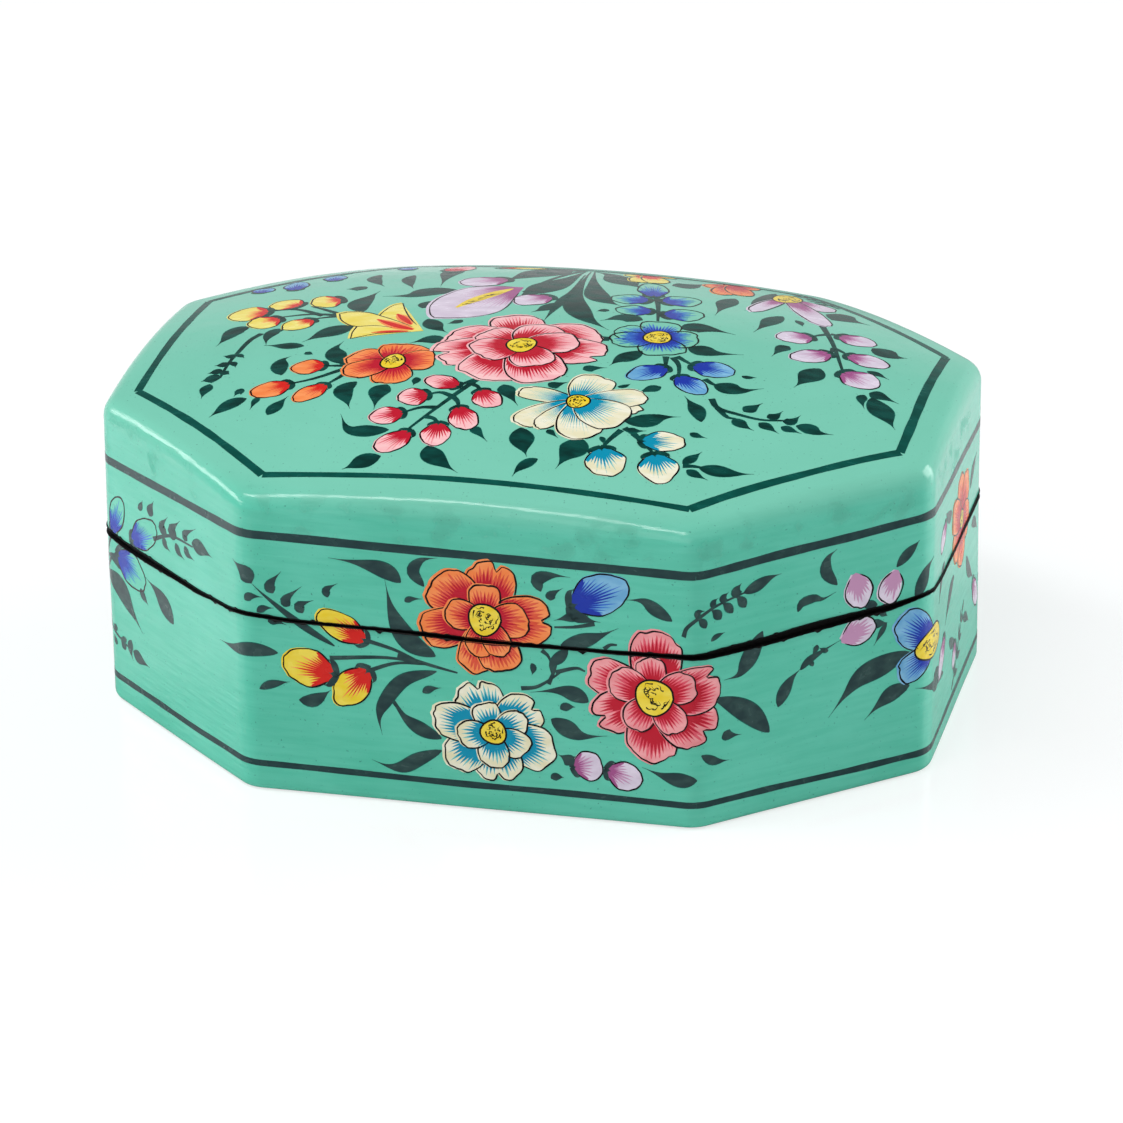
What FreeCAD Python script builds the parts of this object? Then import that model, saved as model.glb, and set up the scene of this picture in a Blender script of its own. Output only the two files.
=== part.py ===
import FreeCAD
import Part
import Sketcher
import os

# A papier mache box in two halves, a plain octagonal base and a lid with a low domed top.
# The origin is on the table, under the middle of the box. X runs along the box, Y across it, Z up.
# The fixed half is the base with its collar. The lid lifts straight off.

DOCUMENT = FreeCAD.newDocument("octagonal_box")

# Driving dimensions, in millimetres

SIZES = (
    # The plan: an octagon with long front and back flats, short end flats and four slanted faces
    ("box_length", 150.0),
    ("box_width", 114.0),
    ("front_flat", 80.4),
    ("end_flat", 50.4),
    ("corner_round", 6.5),
    ("least_round", 0.5),
    # The base, up to the level where the moulded box was cut in two
    ("base_height", 33.4),
    ("base_wall", 3.0),
    ("base_floor", 3.2),
    ("foot_round", 1.5),
    ("foot_bevel", 1.2),
    # The layers on the paper: a chalk ground with its paint and lacquer, and a black coat inside
    ("coat", 0.8),
    ("lining", 0.3),
    ("rim_reveal", 0.4),
    # The collar glued inside the base, which the lid slips over
    ("collar_wall", 1.5),
    ("collar_seat", 12.0),
    ("collar_rise", 6.0),
    ("collar_clearance", 0.4),
    # The lid: its crown above the cut, and the flattened ball that its top is part of
    ("lid_height", 32.7),
    ("dome_rise", 40.0),
    ("dome_reach_along", 134.0),
    ("dome_reach_across", 92.0),
    ("shoulder_round", 3.6),
    # How far a cutting body runs past what it cuts
    ("overrun", 2.0),
)

SHEET = DOCUMENT.addObject("Spreadsheet::Sheet", "Sizes")
for row, (alias, value) in enumerate(SIZES, start=1):
    SHEET.set("A%d" % row, alias)
    SHEET.set("B%d" % row, str(value))
    SHEET.setAlias("B%d" % row, alias)
DOCUMENT.recompute()


def on_sheet(text):
    """Put the sheet's name before each of its aliases in an expression."""
    words = [word if word not in dict(SIZES) else "Sizes." + word for word in text.split(" ")]
    return " ".join(words)


# Insets from the painted outside to each surface under it, and the levels along Z

TO_PAPER = "coat"
TO_BASE_HOLLOW = "coat + base_wall"
TO_BASE_ROOM = "coat + base_wall + lining"
TO_COLLAR_ROOM = "coat + base_wall + lining + collar_wall"
TO_LID_HOLLOW = "coat + base_wall - collar_clearance"
TO_LID_ROOM = "coat + base_wall - collar_clearance + lining"
CROWN = "base_height + lid_height"

# An edge of an offset octagon gets shorter at each end by the inset times the tangent of half the turn

FRONT_TURN = "atan( ( box_width - end_flat ) / ( box_length - front_flat ) )"
END_TURN = "atan( ( box_length - front_flat ) / ( box_width - end_flat ) )"


def origin_plane(body, role):
    for feature in body.Origin.OriginFeatures:
        if feature.Role == role:
            return feature
    raise ValueError(role)


def octagon_sketch(body, name, inset, level):
    """Draw the octagonal plan, inset from the outside, at a level above the table."""
    sketch = body.newObject("Sketcher::SketchObject", name)
    sketch.AttachmentSupport = (origin_plane(body, "XY_Plane"), "")
    sketch.MapMode = "FlatFace"
    sketch.setExpression("AttachmentOffset.Base.z", on_sheet(level))
    along, across = SHEET.box_length / 2, SHEET.box_width / 2
    front, end = SHEET.front_flat / 2, SHEET.end_flat / 2
    corners = [
        FreeCAD.Vector(-front, -across, 0),
        FreeCAD.Vector(front, -across, 0),
        FreeCAD.Vector(along, -end, 0),
        FreeCAD.Vector(along, end, 0),
        FreeCAD.Vector(front, across, 0),
        FreeCAD.Vector(-front, across, 0),
        FreeCAD.Vector(-along, end, 0),
        FreeCAD.Vector(-along, -end, 0),
    ]
    sides = len(corners)
    for side in range(sides):
        sketch.addGeometry(Part.LineSegment(corners[side], corners[(side + 1) % sides]), False)
    for side in range(sides):
        sketch.addConstraint(Sketcher.Constraint("Coincident", side, 2, (side + 1) % sides, 1))
    # Sides 0 and 4 are the front and back, 2 and 6 the ends, and each is centred on an axis
    for side, axis in ((0, -2), (4, -2), (2, -1), (6, -1)):
        sketch.addConstraint(Sketcher.Constraint("Symmetric", side, 1, side, 2, axis))
    bound = (
        ("front_length", 0, "front_flat - 2 * ( %s ) * tan( %s / 2 )" % (inset, FRONT_TURN)),
        ("back_length", 4, "front_flat - 2 * ( %s ) * tan( %s / 2 )" % (inset, FRONT_TURN)),
        ("right_length", 2, "end_flat - 2 * ( %s ) * tan( %s / 2 )" % (inset, END_TURN)),
        ("left_length", 6, "end_flat - 2 * ( %s ) * tan( %s / 2 )" % (inset, END_TURN)),
    )
    for label, side, rule in bound:
        length = corners[side].distanceToPoint(corners[side + 1])
        number = sketch.addConstraint(Sketcher.Constraint("Distance", side, length))
        sketch.renameConstraint(number, label)
        sketch.setExpression("Constraints." + label, on_sheet(rule))
    reach = (
        ("back_reach", 4, "DistanceY", across, "box_width / 2 - ( %s )" % inset),
        ("front_reach", 0, "DistanceY", -across, "( %s ) - box_width / 2" % inset),
        ("right_reach", 2, "DistanceX", along, "box_length / 2 - ( %s )" % inset),
        ("left_reach", 6, "DistanceX", -along, "( %s ) - box_length / 2" % inset),
    )
    for label, side, kind, length, rule in reach:
        number = sketch.addConstraint(Sketcher.Constraint(kind, side, 1, length))
        sketch.renameConstraint(number, label)
        sketch.setExpression("Constraints." + label, on_sheet(rule))
    return sketch


def edge_names(shape, wanted):
    """Name the edges that a test picks, as a fillet asks for them."""
    return ["Edge%d" % number for number, edge in enumerate(shape.Edges, start=1) if wanted(edge)]


def is_upright(edge):
    direction = edge.tangentAt(edge.FirstParameter)
    return abs(direction.x) + abs(direction.y) < abs(direction.z) / 1000


def round_edges(body, name, wanted, radius):
    """Round the edges of a body that a test picks."""
    DOCUMENT.recompute()
    base = body.Tip
    fillet = body.newObject("PartDesign::Fillet", name)
    fillet.Base = (base, edge_names(base.Shape, wanted))
    fillet.setExpression("Radius", on_sheet(radius))
    return fillet


def octagon_block(name, inset, bottom, top):
    """Make a solid octagonal block with rounded uprights between two levels."""
    body = DOCUMENT.addObject("PartDesign::Body", name)
    sketch = octagon_sketch(body, name + "_plan", inset, bottom)
    pad = body.newObject("PartDesign::Pad", name + "_pad")
    pad.Profile = sketch
    pad.setExpression("Length", on_sheet("( %s ) - ( %s )" % (top, bottom)))
    body.Tip = pad
    radius = "max( corner_round - ( %s ) ; least_round )" % inset
    round_edges(body, name + "_uprights", is_upright, radius)
    return body


def at_level(level):
    """Pick the edges that lie flat at a level."""
    def lies_there(edge):
        box = edge.BoundBox
        return max(abs(box.ZMin - level), abs(box.ZMax - level)) < SHEET.overrun / 1000
    return lies_there


def domed_block(name, inset, bottom):
    """Make a solid octagonal block whose top is a cap of the flattened ball, inset from the outside."""
    body = octagon_block(name, inset, bottom, CROWN + " + overrun")
    ball_body = DOCUMENT.addObject("PartDesign::Body", name + "_ball")
    ball = ball_body.newObject("PartDesign::AdditiveEllipsoid", name + "_dome")
    # The ball lies on its side, so that its poles are not on the crown
    ball.AttachmentSupport = (origin_plane(ball_body, "XZ_Plane"), "")
    ball.MapMode = "FlatFace"
    ball.setExpression("AttachmentOffset.Base.y", on_sheet(CROWN + " - dome_rise"))
    ball.setExpression("Radius1", on_sheet("dome_reach_across - ( %s )" % inset))
    ball.setExpression("Radius2", on_sheet("dome_reach_along - ( %s )" % inset))
    ball.setExpression("Radius3", on_sheet("dome_rise - ( %s )" % inset))
    DOCUMENT.recompute()
    capped = body.newObject("PartDesign::Boolean", name + "_cap")
    capped.setObjects([ball_body])
    capped.Type = "Common"
    body.Tip = capped
    return body


def on_shoulder(edge):
    """Pick the edges where the walls of a lid turn into its domed top."""
    return edge.BoundBox.ZMin > SHEET.base_height + SHEET.lid_height / 2 and not is_upright(edge)


def cut(label, whole, tool):
    """Make a piece of the box: one body less another."""
    piece = DOCUMENT.addObject("Part::Cut", label)
    piece.Label = label
    piece.Base = whole
    piece.Tool = tool
    return piece


# The base: moulded paper, its painted coat outside and its black coat inside

base_outside = octagon_block("base_outside", "0", "0", "base_height - rim_reveal")
round_edges(base_outside, "base_outside_foot", at_level(0), "foot_round")

base_paper = octagon_block("base_paper", TO_PAPER, "0", "base_height")
DOCUMENT.recompute()
foot_bevel = base_paper.newObject("PartDesign::Chamfer", "base_paper_foot")
foot_bevel.Base = (base_paper.Group[-2], edge_names(base_paper.Group[-2].Shape, at_level(0)))
foot_bevel.setExpression("Size", on_sheet("foot_bevel"))

base_hollow = octagon_block("base_hollow", TO_BASE_HOLLOW, "base_floor", "base_height")
base_room = octagon_block("base_room", TO_BASE_ROOM, "base_floor + lining", "base_height + overrun")

base_ground_coat = cut("base_ground_coat", base_outside, base_paper)
base_shell = cut("base_shell", base_paper, base_hollow)
base_lining = cut("base_lining", base_hollow, base_room)

# The collar: a paper band that stands above the rim inside the lid

collar_foot = "base_height - collar_seat"
collar_top = "base_height + collar_rise"
collar_outside = octagon_block("collar_outside", TO_BASE_ROOM, collar_foot, collar_top)
collar_room = octagon_block(
    "collar_room", TO_COLLAR_ROOM, collar_foot + " - overrun", collar_top + " + overrun"
)
collar = cut("collar", collar_outside, collar_room)

# The lid: the same three layers under the domed top

lid_outside = domed_block("lid_outside", "0", "base_height + rim_reveal")
round_edges(lid_outside, "lid_outside_shoulder", on_shoulder, "shoulder_round")
lid_paper = domed_block("lid_paper", TO_PAPER, "base_height")
round_edges(lid_paper, "lid_paper_shoulder", on_shoulder, "max( shoulder_round - coat ; least_round )")
lid_hollow = domed_block("lid_hollow", TO_LID_HOLLOW, "base_height")
lid_room = domed_block("lid_room", TO_LID_ROOM, "base_height - overrun")

lid_ground_coat = cut("lid_ground_coat", lid_outside, lid_paper)
lid_shell = cut("lid_shell", lid_paper, lid_hollow)
lid_lining = cut("lid_lining", lid_hollow, lid_room)

PIECES = (
    base_shell,
    base_ground_coat,
    base_lining,
    collar,
    lid_shell,
    lid_ground_coat,
    lid_lining,
)

# Every object is checked before anything is written

DOCUMENT.recompute()
for thing in DOCUMENT.Objects:
    if "Invalid" in thing.State or "Error" in thing.State:
        raise RuntimeError("%s is in error: %s" % (thing.Name, thing.State))
for piece in PIECES:
    if piece.Shape.isNull() or not piece.Shape.isValid() or len(piece.Shape.Solids) != 1:
        raise RuntimeError("%s is not one valid solid" % piece.Label)

os.makedirs("parts", exist_ok=True)
for piece in PIECES:
    box = piece.Shape.BoundBox
    print(
        "%-18s %9.1f mm3  x %.2f..%.2f  y %.2f..%.2f  z %.2f..%.2f"
        % (piece.Label, piece.Shape.Volume, box.XMin, box.XMax, box.YMin, box.YMax, box.ZMin, box.ZMax)
    )
    piece.Shape.exportStep("parts/" + piece.Label + ".step")
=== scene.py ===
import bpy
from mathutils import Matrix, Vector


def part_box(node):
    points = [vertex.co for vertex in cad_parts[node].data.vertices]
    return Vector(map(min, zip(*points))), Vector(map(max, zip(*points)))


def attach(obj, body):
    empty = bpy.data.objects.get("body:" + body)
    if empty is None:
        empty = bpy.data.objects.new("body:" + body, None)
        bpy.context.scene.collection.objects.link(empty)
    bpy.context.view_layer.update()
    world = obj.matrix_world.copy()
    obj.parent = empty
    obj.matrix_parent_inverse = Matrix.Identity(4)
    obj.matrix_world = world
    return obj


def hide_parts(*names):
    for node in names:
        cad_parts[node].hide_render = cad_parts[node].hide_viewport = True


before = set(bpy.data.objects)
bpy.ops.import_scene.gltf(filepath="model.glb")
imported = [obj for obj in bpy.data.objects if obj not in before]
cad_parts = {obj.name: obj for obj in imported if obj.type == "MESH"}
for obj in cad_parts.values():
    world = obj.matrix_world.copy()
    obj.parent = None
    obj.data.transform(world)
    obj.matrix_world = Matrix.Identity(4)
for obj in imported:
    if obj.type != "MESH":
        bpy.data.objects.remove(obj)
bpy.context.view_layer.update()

import bisect
import math
import random

import bmesh
import bpy
from mathutils import Matrix, Vector, noise

# The camera stands where the photographer's did: a little to the right of the front, looking down
# on the box through a long lens. Its numbers come from the corners of the box in the photo.

MM = 0.001
PHOTO_SIDE = 1123
SENSOR = 36
VIEW_AZIMUTH = math.radians(13.639)
VIEW_ELEVATION = math.radians(23.807)
VIEW_ROLL = math.radians(-0.707)
VIEW_DISTANCE = 1093.7
VIEW_FOCUS = 6058.8
LOOK_AT = Vector((2.87, 0, 22.87))

view_back = Vector((
    math.sin(VIEW_AZIMUTH) * math.cos(VIEW_ELEVATION),
    -math.cos(VIEW_AZIMUTH) * math.cos(VIEW_ELEVATION),
    math.sin(VIEW_ELEVATION),
))
level_right = Vector((math.cos(VIEW_AZIMUTH), math.sin(VIEW_AZIMUTH), 0))
level_up = view_back.cross(level_right)
view_right = math.cos(VIEW_ROLL) * level_right + math.sin(VIEW_ROLL) * level_up
view_up = view_back.cross(view_right)
view_from = LOOK_AT + view_back * VIEW_DISTANCE

lens = bpy.data.cameras.new("photo_lens")
lens.sensor_width = SENSOR
lens.lens = VIEW_FOCUS / PHOTO_SIDE * SENSOR
lens.clip_start = 0.05
camera = bpy.data.objects.new("photo_camera", lens)
camera.matrix_world = Matrix.Translation(view_from * MM) @ Matrix(
    (view_right, view_up, view_back)
).transposed().to_4x4()
bpy.context.scene.collection.objects.link(camera)
bpy.context.scene.camera = camera
bpy.context.scene.view_settings.view_transform = "Standard"


# The studio: a white table with a faint shine, lit from below for the camera, and soft lamps in a
# dim room. The top and the two ends are lit more than the front, as they are in the photo.

class Wire:
    """A socket of a material. Sums on it, written as Python, add Math nodes."""

    def __init__(self, tree, socket):
        self.tree = tree
        self.socket = socket

    def node(self, kind, settings, inputs, output=0):
        """Add a node: its settings first, then the values or wires of its sockets."""
        made = self.tree.nodes.new(kind)
        for name, value in settings.items():
            setattr(made, name, value)
        for name, value in inputs.items():
            if isinstance(value, Wire):
                self.tree.links.new(value.socket, made.inputs[name])
            else:
                made.inputs[name].default_value = value
        return Wire(self.tree, made.outputs[output])

    def maths(self, operation, first, second):
        return self.node("ShaderNodeMath", {"operation": operation}, {0: first, 1: second})

    def __add__(self, other):
        return self.maths("ADD", self, other)

    def __mul__(self, other):
        return self.maths("MULTIPLY", self, other)

    def __sub__(self, other):
        return self.maths("SUBTRACT", self, other)

    def __rsub__(self, other):
        return self.maths("SUBTRACT", other, self)

    __radd__ = __add__
    __rmul__ = __mul__

    def between(self, low, high):
        """0 below low, 1 above high and a soft step from one to the other."""
        return self.node(
            "ShaderNodeMapRange",
            {"interpolation_type": "SMOOTHSTEP"},
            {"Value": self, "From Min": low, "From Max": high},
        )

    def blend(self, low, high):
        """The colour low where this is 0, high where it is 1."""
        return self.node(
            "ShaderNodeMix", {"data_type": "RGBA"}, {"Factor": self, 6: low, 7: high}, 2
        )

    def cloud(self, spot, detail=2.0, stretch=(1, 1, 1)):
        """Noise about 0.5 in spots of a size in millimetres, drawn out where stretch is small."""
        place = self.node("ShaderNodeMapping", {}, {"Vector": self, "Scale": stretch})
        return self.node(
            "ShaderNodeTexNoise", {}, {"Vector": place, "Scale": 1 / (spot * MM), "Detail": detail}
        )


def colour(red, green, blue):
    """A colour as a screen shows it, 0 to 255 a channel, in the light that the shader wants."""
    return tuple((channel / 255) ** 2.2 for channel in (red, green, blue)) + (1,)


class Finish:
    """A material: its surface, and a wire of the piece's own coordinates for its patterns."""

    def __init__(self, name, base, settings):
        self.material = bpy.data.materials.new(name)
        self.material.use_nodes = True
        self.tree = self.material.node_tree
        self.surface = self.tree.nodes["Principled BSDF"]
        self.surface.inputs["Base Color"].default_value = base
        for socket, value in settings.items():
            self.surface.inputs[socket].default_value = value
        self.place = Wire(self.tree, self.tree.nodes.new("ShaderNodeTexCoord").outputs["Object"])

    def feed(self, socket, wire):
        self.tree.links.new(wire.socket, self.surface.inputs[socket])

    def emboss(self, height, depth):
        """Raise the surface by a wire of heights from 0 to 1, depth millimetres at 1."""
        self.feed("Normal", height.node(
            "ShaderNodeBump", {}, {"Height": height, "Distance": depth * MM}
        ))


TABLE_REACH = 3000
table_net = bmesh.new()
bmesh.ops.create_grid(table_net, x_segments=1, y_segments=1, size=TABLE_REACH * MM)
table_mesh = bpy.data.meshes.new("table")
table_net.to_mesh(table_mesh)
table_net.free()
table = bpy.data.objects.new("table", table_mesh)
bpy.context.scene.collection.objects.link(table)
TABLE_GLOW = 0.68
TABLE_WHITE = colour(252, 252, 253)
TABLE_PAINTED_SHADE = colour(150, 152, 153)
TABLE_UNDER_GLOW = colour(158, 160, 162)
LEFT_OF_BOX = (-0.095, -0.07)
RIGHT_OF_BOX = (0.068, 0.08)
BESIDE_END_WALL = (-0.032, -0.018)
BRIGHT_BESIDE_END = 0.85
table_finish = Finish("white_table", TABLE_WHITE, {
    "Roughness": 0.16, "Specular IOR Level": 0.3, "Emission Strength": TABLE_GLOW,
})
to_camera = Wire(
    table_finish.tree, table_finish.tree.nodes.new("ShaderNodeLightPath").outputs["Is Camera Ray"]
)
to_mirror = Wire(
    table_finish.tree, table_finish.tree.nodes.new("ShaderNodeLightPath").outputs["Is Glossy Ray"]
)
table_x, table_y = (
    table_finish.place.node("ShaderNodeSeparateXYZ", {}, {"Vector": table_finish.place}, axis)
    for axis in (0, 1)
)
# Painted shade: to glossy rays the table is darker from just left of the box rightwards, standing in
# for a table in shade there. Beside the right end wall it stays mostly white.
beside_end = table_x.between(*RIGHT_OF_BOX) * table_y.between(*BESIDE_END_WALL)
table_shade_in_reflections = to_mirror * table_x.between(*LEFT_OF_BOX) * (1 - beside_end * BRIGHT_BESIDE_END)
mirrored_table = table_shade_in_reflections.blend(TABLE_WHITE, TABLE_PAINTED_SHADE)
table_finish.feed("Base Color", to_camera.blend(mirrored_table, TABLE_UNDER_GLOW))
table_finish.feed("Emission Color", to_camera.blend((0, 0, 0, 1), (1, 1, 1, 1)))
table_mesh.materials.append(table_finish.material)

# Each lamp: its name, its place, the way its long side runs, its two sides and its power.

LAMPS = (
    ("lamp_strip", Vector((-454, -394, 1223)), Vector((-0.81, 0.51, -0.29)), 1240, 250, 9.2),
    ("lamp_left", Vector((-1250, -180, 480)), Vector((0, 1, 0)), 1050, 260, 6.2),
    ("lamp_right", Vector((1200, 700, 500)), Vector((0, 1, 0)), 900, 900, 14),
    ("lamp_front", Vector((100, -1400, 650)), Vector((1, 0, 0)), 800, 800, 2.5),
)
for lamp_name, lamp_place, lamp_run, lamp_length, lamp_width, lamp_power in LAMPS:
    lamp_light = bpy.data.lights.new(lamp_name, "AREA")
    lamp_light.shape = "RECTANGLE"
    lamp_light.size = lamp_length * MM
    lamp_light.size_y = lamp_width * MM
    lamp_light.energy = lamp_power
    lamp = bpy.data.objects.new(lamp_name, lamp_light)
    lamp_back = (lamp_place - LOOK_AT).normalized()
    lamp_up = lamp_back.cross(lamp_run).normalized()
    lamp.matrix_world = Matrix.Translation(lamp_place * MM) @ Matrix(
        (lamp_up.cross(lamp_back), lamp_up, lamp_back)
    ).transposed().to_4x4()
    bpy.context.scene.collection.objects.link(lamp)

AMBIENT_LIGHT = 0.33
MIRRORED_ROOM = 0.1
MIRRORED_BACKDROP = 0.46
BACKDROP_EDGE = (0.1, 0.5)
BACKDROP_TOP = (0.1, 0.42)
studio = bpy.data.worlds.new("studio")
studio.use_nodes = True
bpy.context.scene.world = studio
backdrop = studio.node_tree.nodes["Background"]
backdrop.inputs["Color"].default_value = (1, 1, 1, 1)
light_path = studio.node_tree.nodes.new("ShaderNodeLightPath")
seen = Wire(studio.node_tree, light_path.outputs["Is Camera Ray"])
mirrored = Wire(studio.node_tree, light_path.outputs["Is Glossy Ray"])
heading = Wire(
    studio.node_tree, studio.node_tree.nodes.new("ShaderNodeTexCoord").outputs["Generated"]
)
to_back = heading.node("ShaderNodeSeparateXYZ", {}, {"Vector": heading}, 1).between(*BACKDROP_EDGE)
over = heading.node("ShaderNodeSeparateXYZ", {}, {"Vector": heading}, 2).between(*BACKDROP_TOP)
room = to_back * (1 - over) * MIRRORED_BACKDROP + MIRRORED_ROOM
glow = seen * (1 - AMBIENT_LIGHT) + mirrored * (room - AMBIENT_LIGHT) + AMBIENT_LIGHT
studio.node_tree.links.new(glow.socket, backdrop.inputs["Strength"])

# The lower half: paper pulp pressed over an octagonal form, as one closed box that is cut in two
# when dry. Its cut rim and its underside are painted black. No two of its walls are quite flat.

coat_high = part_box("lid_ground_coat")[1] / MM
shell_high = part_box("base_shell")[1] / MM
HALF_LENGTH = coat_high.x
HALF_WIDTH = coat_high.y
SEAM_HEIGHT = shell_high.z
COAT = coat_high.x - shell_high.x
FRONT_FLAT = 80.4
END_FLAT = 50.4
CORNER_ROUND = 6.5
FOOT_ROUND = 1.5
FOOT_BEVEL = 1.2
SHELL_HOLLOW = 3.8
FLOOR = 3.2

turns = [
    Vector(place) for place in (
        (-FRONT_FLAT / 2, -HALF_WIDTH), (FRONT_FLAT / 2, -HALF_WIDTH),
        (HALF_LENGTH, -END_FLAT / 2), (HALF_LENGTH, END_FLAT / 2),
        (FRONT_FLAT / 2, HALF_WIDTH), (-FRONT_FLAT / 2, HALF_WIDTH),
        (-HALF_LENGTH, END_FLAT / 2), (-HALF_LENGTH, -END_FLAT / 2),
    )
]
WALLS = len(turns)
runs = [(turns[(number + 1) % WALLS] - turns[number]) for number in range(WALLS)]
lengths = [run.length for run in runs]
runs = [run.normalized() for run in runs]
faces_out = [Vector((run.y, -run.x)) for run in runs]
bends = [runs[number - 1].angle(runs[number]) for number in range(WALLS)]
reaches = [CORNER_ROUND * math.tan(bend / 2) for bend in bends]
starts = [sum(lengths[:number]) for number in range(WALLS)]
GIRTH = sum(lengths)


def plan(way, inset):
    """The point a way round the plan in millimetres from the left front corner, and an inset in."""
    way %= GIRTH
    number = bisect.bisect_right(starts, way) - 1
    along = way - starts[number]
    corner = number if along < lengths[number] / 2 else (number + 1) % WALLS
    away = along if corner == number else along - lengths[number]
    if abs(away) >= reaches[corner]:
        return turns[number] + runs[number] * along - faces_out[number] * inset
    centre = turns[corner] - runs[corner - 1] * reaches[corner] - faces_out[corner - 1] * CORNER_ROUND
    facing = faces_out[corner - 1].copy()
    facing.rotate(Matrix.Rotation((away / reaches[corner] + 1) / 2 * bends[corner], 2))
    return centre + facing * (CORNER_ROUND - inset)


CORNER_STEPS = 8
WALL_STEP = 2.2
stations = []
for number in range(WALLS):
    straight = lengths[number] - reaches[number] - reaches[(number + 1) % WALLS]
    steps = round(straight / WALL_STEP)
    stations += [
        starts[number] + reaches[number] * (2 * step / CORNER_STEPS - 1) for step in range(CORNER_STEPS)
    ]
    stations += [starts[number] + reaches[number] + straight * step / steps for step in range(steps)]

HAND = 0.3
HAND_SPOT = 36
HAND_SHIFTS = (Vector((3.1, 7.7, 1.9)), Vector((11.3, 2.9, 5.4)), Vector((6.7, 13.1, 9.6)))
HAND_UPRIGHT = 0.6
STANDING = 8


def by_hand(point):
    """Move a point of the ideal box to where the hand-pressed box has it."""
    drift = Vector([noise.noise(point / HAND_SPOT + shift) for shift in HAND_SHIFTS]) * HAND
    drift.z *= min(1, max(0, point.z / STANDING)) * HAND_UPRIGHT
    return (point + drift) * MM


def round_list(knots, way):
    """Read a list of (way round the plan, value) at any way round, with soft steps."""
    way %= GIRTH
    wrapped = list(knots) + [(knots[0][0] + GIRTH, knots[0][1])]
    if way < knots[0][0]:
        way += GIRTH
    for (one, low), (other, high) in zip(wrapped, wrapped[1:]):
        if one <= way <= other:
            share = (way - one) / (other - one)
            return low + (high - low) * share * share * (3 - 2 * share)


CUT_WAVE = (
    (0, 0.35), (10, -0.2), (25, -0.3), (46, -0.75), (65, -0.72), (78, -0.5), (92, -0.45), (105, -0.05),
    (118, 0.15), (127, 0.9), (140, -0.1), (155, -0.5), (178, -0.6), (200, -0.1), (225, 0.3),
    (250, -0.2), (285, 0.4), (305, 0.1), (330, -0.3), (352, 0.5), (380, 0.1), (403, -0.4),
    (412, -0.9), (434, -0.9), (444, -0.3),
)


def cut(way):
    """How high the saw went through the box there."""
    return SEAM_HEIGHT + round_list(CUT_WAVE, way)


def level(inset, height):
    """A ring at one inset, level or at a height that depends on the way round."""
    rise = height if callable(height) else lambda way: height
    return lambda way: (*plan(way, inset), rise(way))


def towards_middle(inset, shares, height):
    """Rings that close a flat or domed face from an inset to its middle point."""
    rise = height if callable(height) else lambda x, y: height
    rings = []
    for share in shares:
        def ring(way, share=share):
            x, y = plan(way, inset) * (1 - share)
            return x, y, rise(x, y)
        rings.append(ring)
    return rings


WELD = 0.0005


def mould(name, rings, closed_loop=False, around=stations):
    """Press a net over the form: one row a ring, one column a station, welded where it closes."""
    net = bmesh.new()
    columns = len(around)
    rows = len(rings) - (0 if closed_loop else 1)
    bmesh.ops.create_grid(net, x_segments=columns, y_segments=rows, size=0.5)
    for knot in net.verts:
        column = round((knot.co.x + 0.5) * columns) % columns
        row = round((knot.co.y + 0.5) * rows) % len(rings)
        knot.co = by_hand(Vector(rings[row](around[column])))
    bmesh.ops.remove_doubles(net, verts=net.verts, dist=WELD * MM)
    bmesh.ops.recalc_face_normals(net, faces=net.faces)
    return piece_of(net, name)


def piece_of(net, name, sharp=40):
    """Make the finished net a piece with smooth faces and crisp edges."""
    mesh = bpy.data.meshes.new(name)
    net.to_mesh(mesh)
    net.free()
    mesh.shade_smooth()
    mesh.set_sharp_from_angle(angle=math.radians(sharp))
    piece = bpy.data.objects.new(name, mesh)
    bpy.context.scene.collection.objects.link(piece)
    return piece


def put(piece, finish, body, node=None):
    """Give a piece its finish and the body that it moves with, and hide the node that it stands for."""
    piece.data.materials.append(finish.material)
    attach(piece, body)
    if node:
        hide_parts(node)


FLAT_SHARES = (0.25, 0.5, 0.75, 1)
base_shell = mould("base_shell_pulp", (
    *reversed(towards_middle(FOOT_BEVEL + COAT, FLAT_SHARES, 0)),
    level(FOOT_BEVEL + COAT, 0),
    level(COAT, FOOT_BEVEL),
    level(COAT, SEAM_HEIGHT / 2),
    level(COAT, cut),
    level(SHELL_HOLLOW, cut),
    level(SHELL_HOLLOW, FLOOR),
    *towards_middle(SHELL_HOLLOW, FLAT_SHARES, FLOOR),
))

BLACK = colour(12, 10, 12)
black_rim = Finish("black_painted_pulp", BLACK, {"Specular IOR Level": 0.22})
pulp_grain = black_rim.place.cloud(0.9, 4)
black_rim.feed("Roughness", pulp_grain * 0.35 + 0.32)
black_rim.emboss(pulp_grain, 0.12)
put(base_shell, black_rim, "base", "base_shell")

# The collar: a strip of card glued inside the rim of the lower half and painted black with it.
# The lid slips over the part that stands above the rim.

collar_low, collar_high = (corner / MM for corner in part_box("collar"))
COLLAR_INSET = HALF_LENGTH - collar_high.x
COLLAR_WALL = 1.5
COLLAR_EDGE = 0.35
collar = mould("collar_card", (
    level(COLLAR_INSET, collar_low.z),
    level(COLLAR_INSET, collar_high.z - COLLAR_EDGE),
    level(COLLAR_INSET + COLLAR_EDGE, collar_high.z),
    level(COLLAR_INSET + COLLAR_WALL - COLLAR_EDGE, collar_high.z),
    level(COLLAR_INSET + COLLAR_WALL, collar_high.z - COLLAR_EDGE),
    level(COLLAR_INSET + COLLAR_WALL, collar_low.z),
), closed_loop=True)

black_card = Finish("black_painted_card", BLACK, {})
card_streaks = black_card.place.cloud(1.2, 3, (0.25, 0.25, 1))
black_card.feed("Roughness", card_streaks * 0.3 + 0.34)
black_card.emboss(card_streaks, 0.08)
put(collar, black_card, "base", "collar")

# The lining of the lower half: thin paper pasted over the floor and the walls and painted black.

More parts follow.
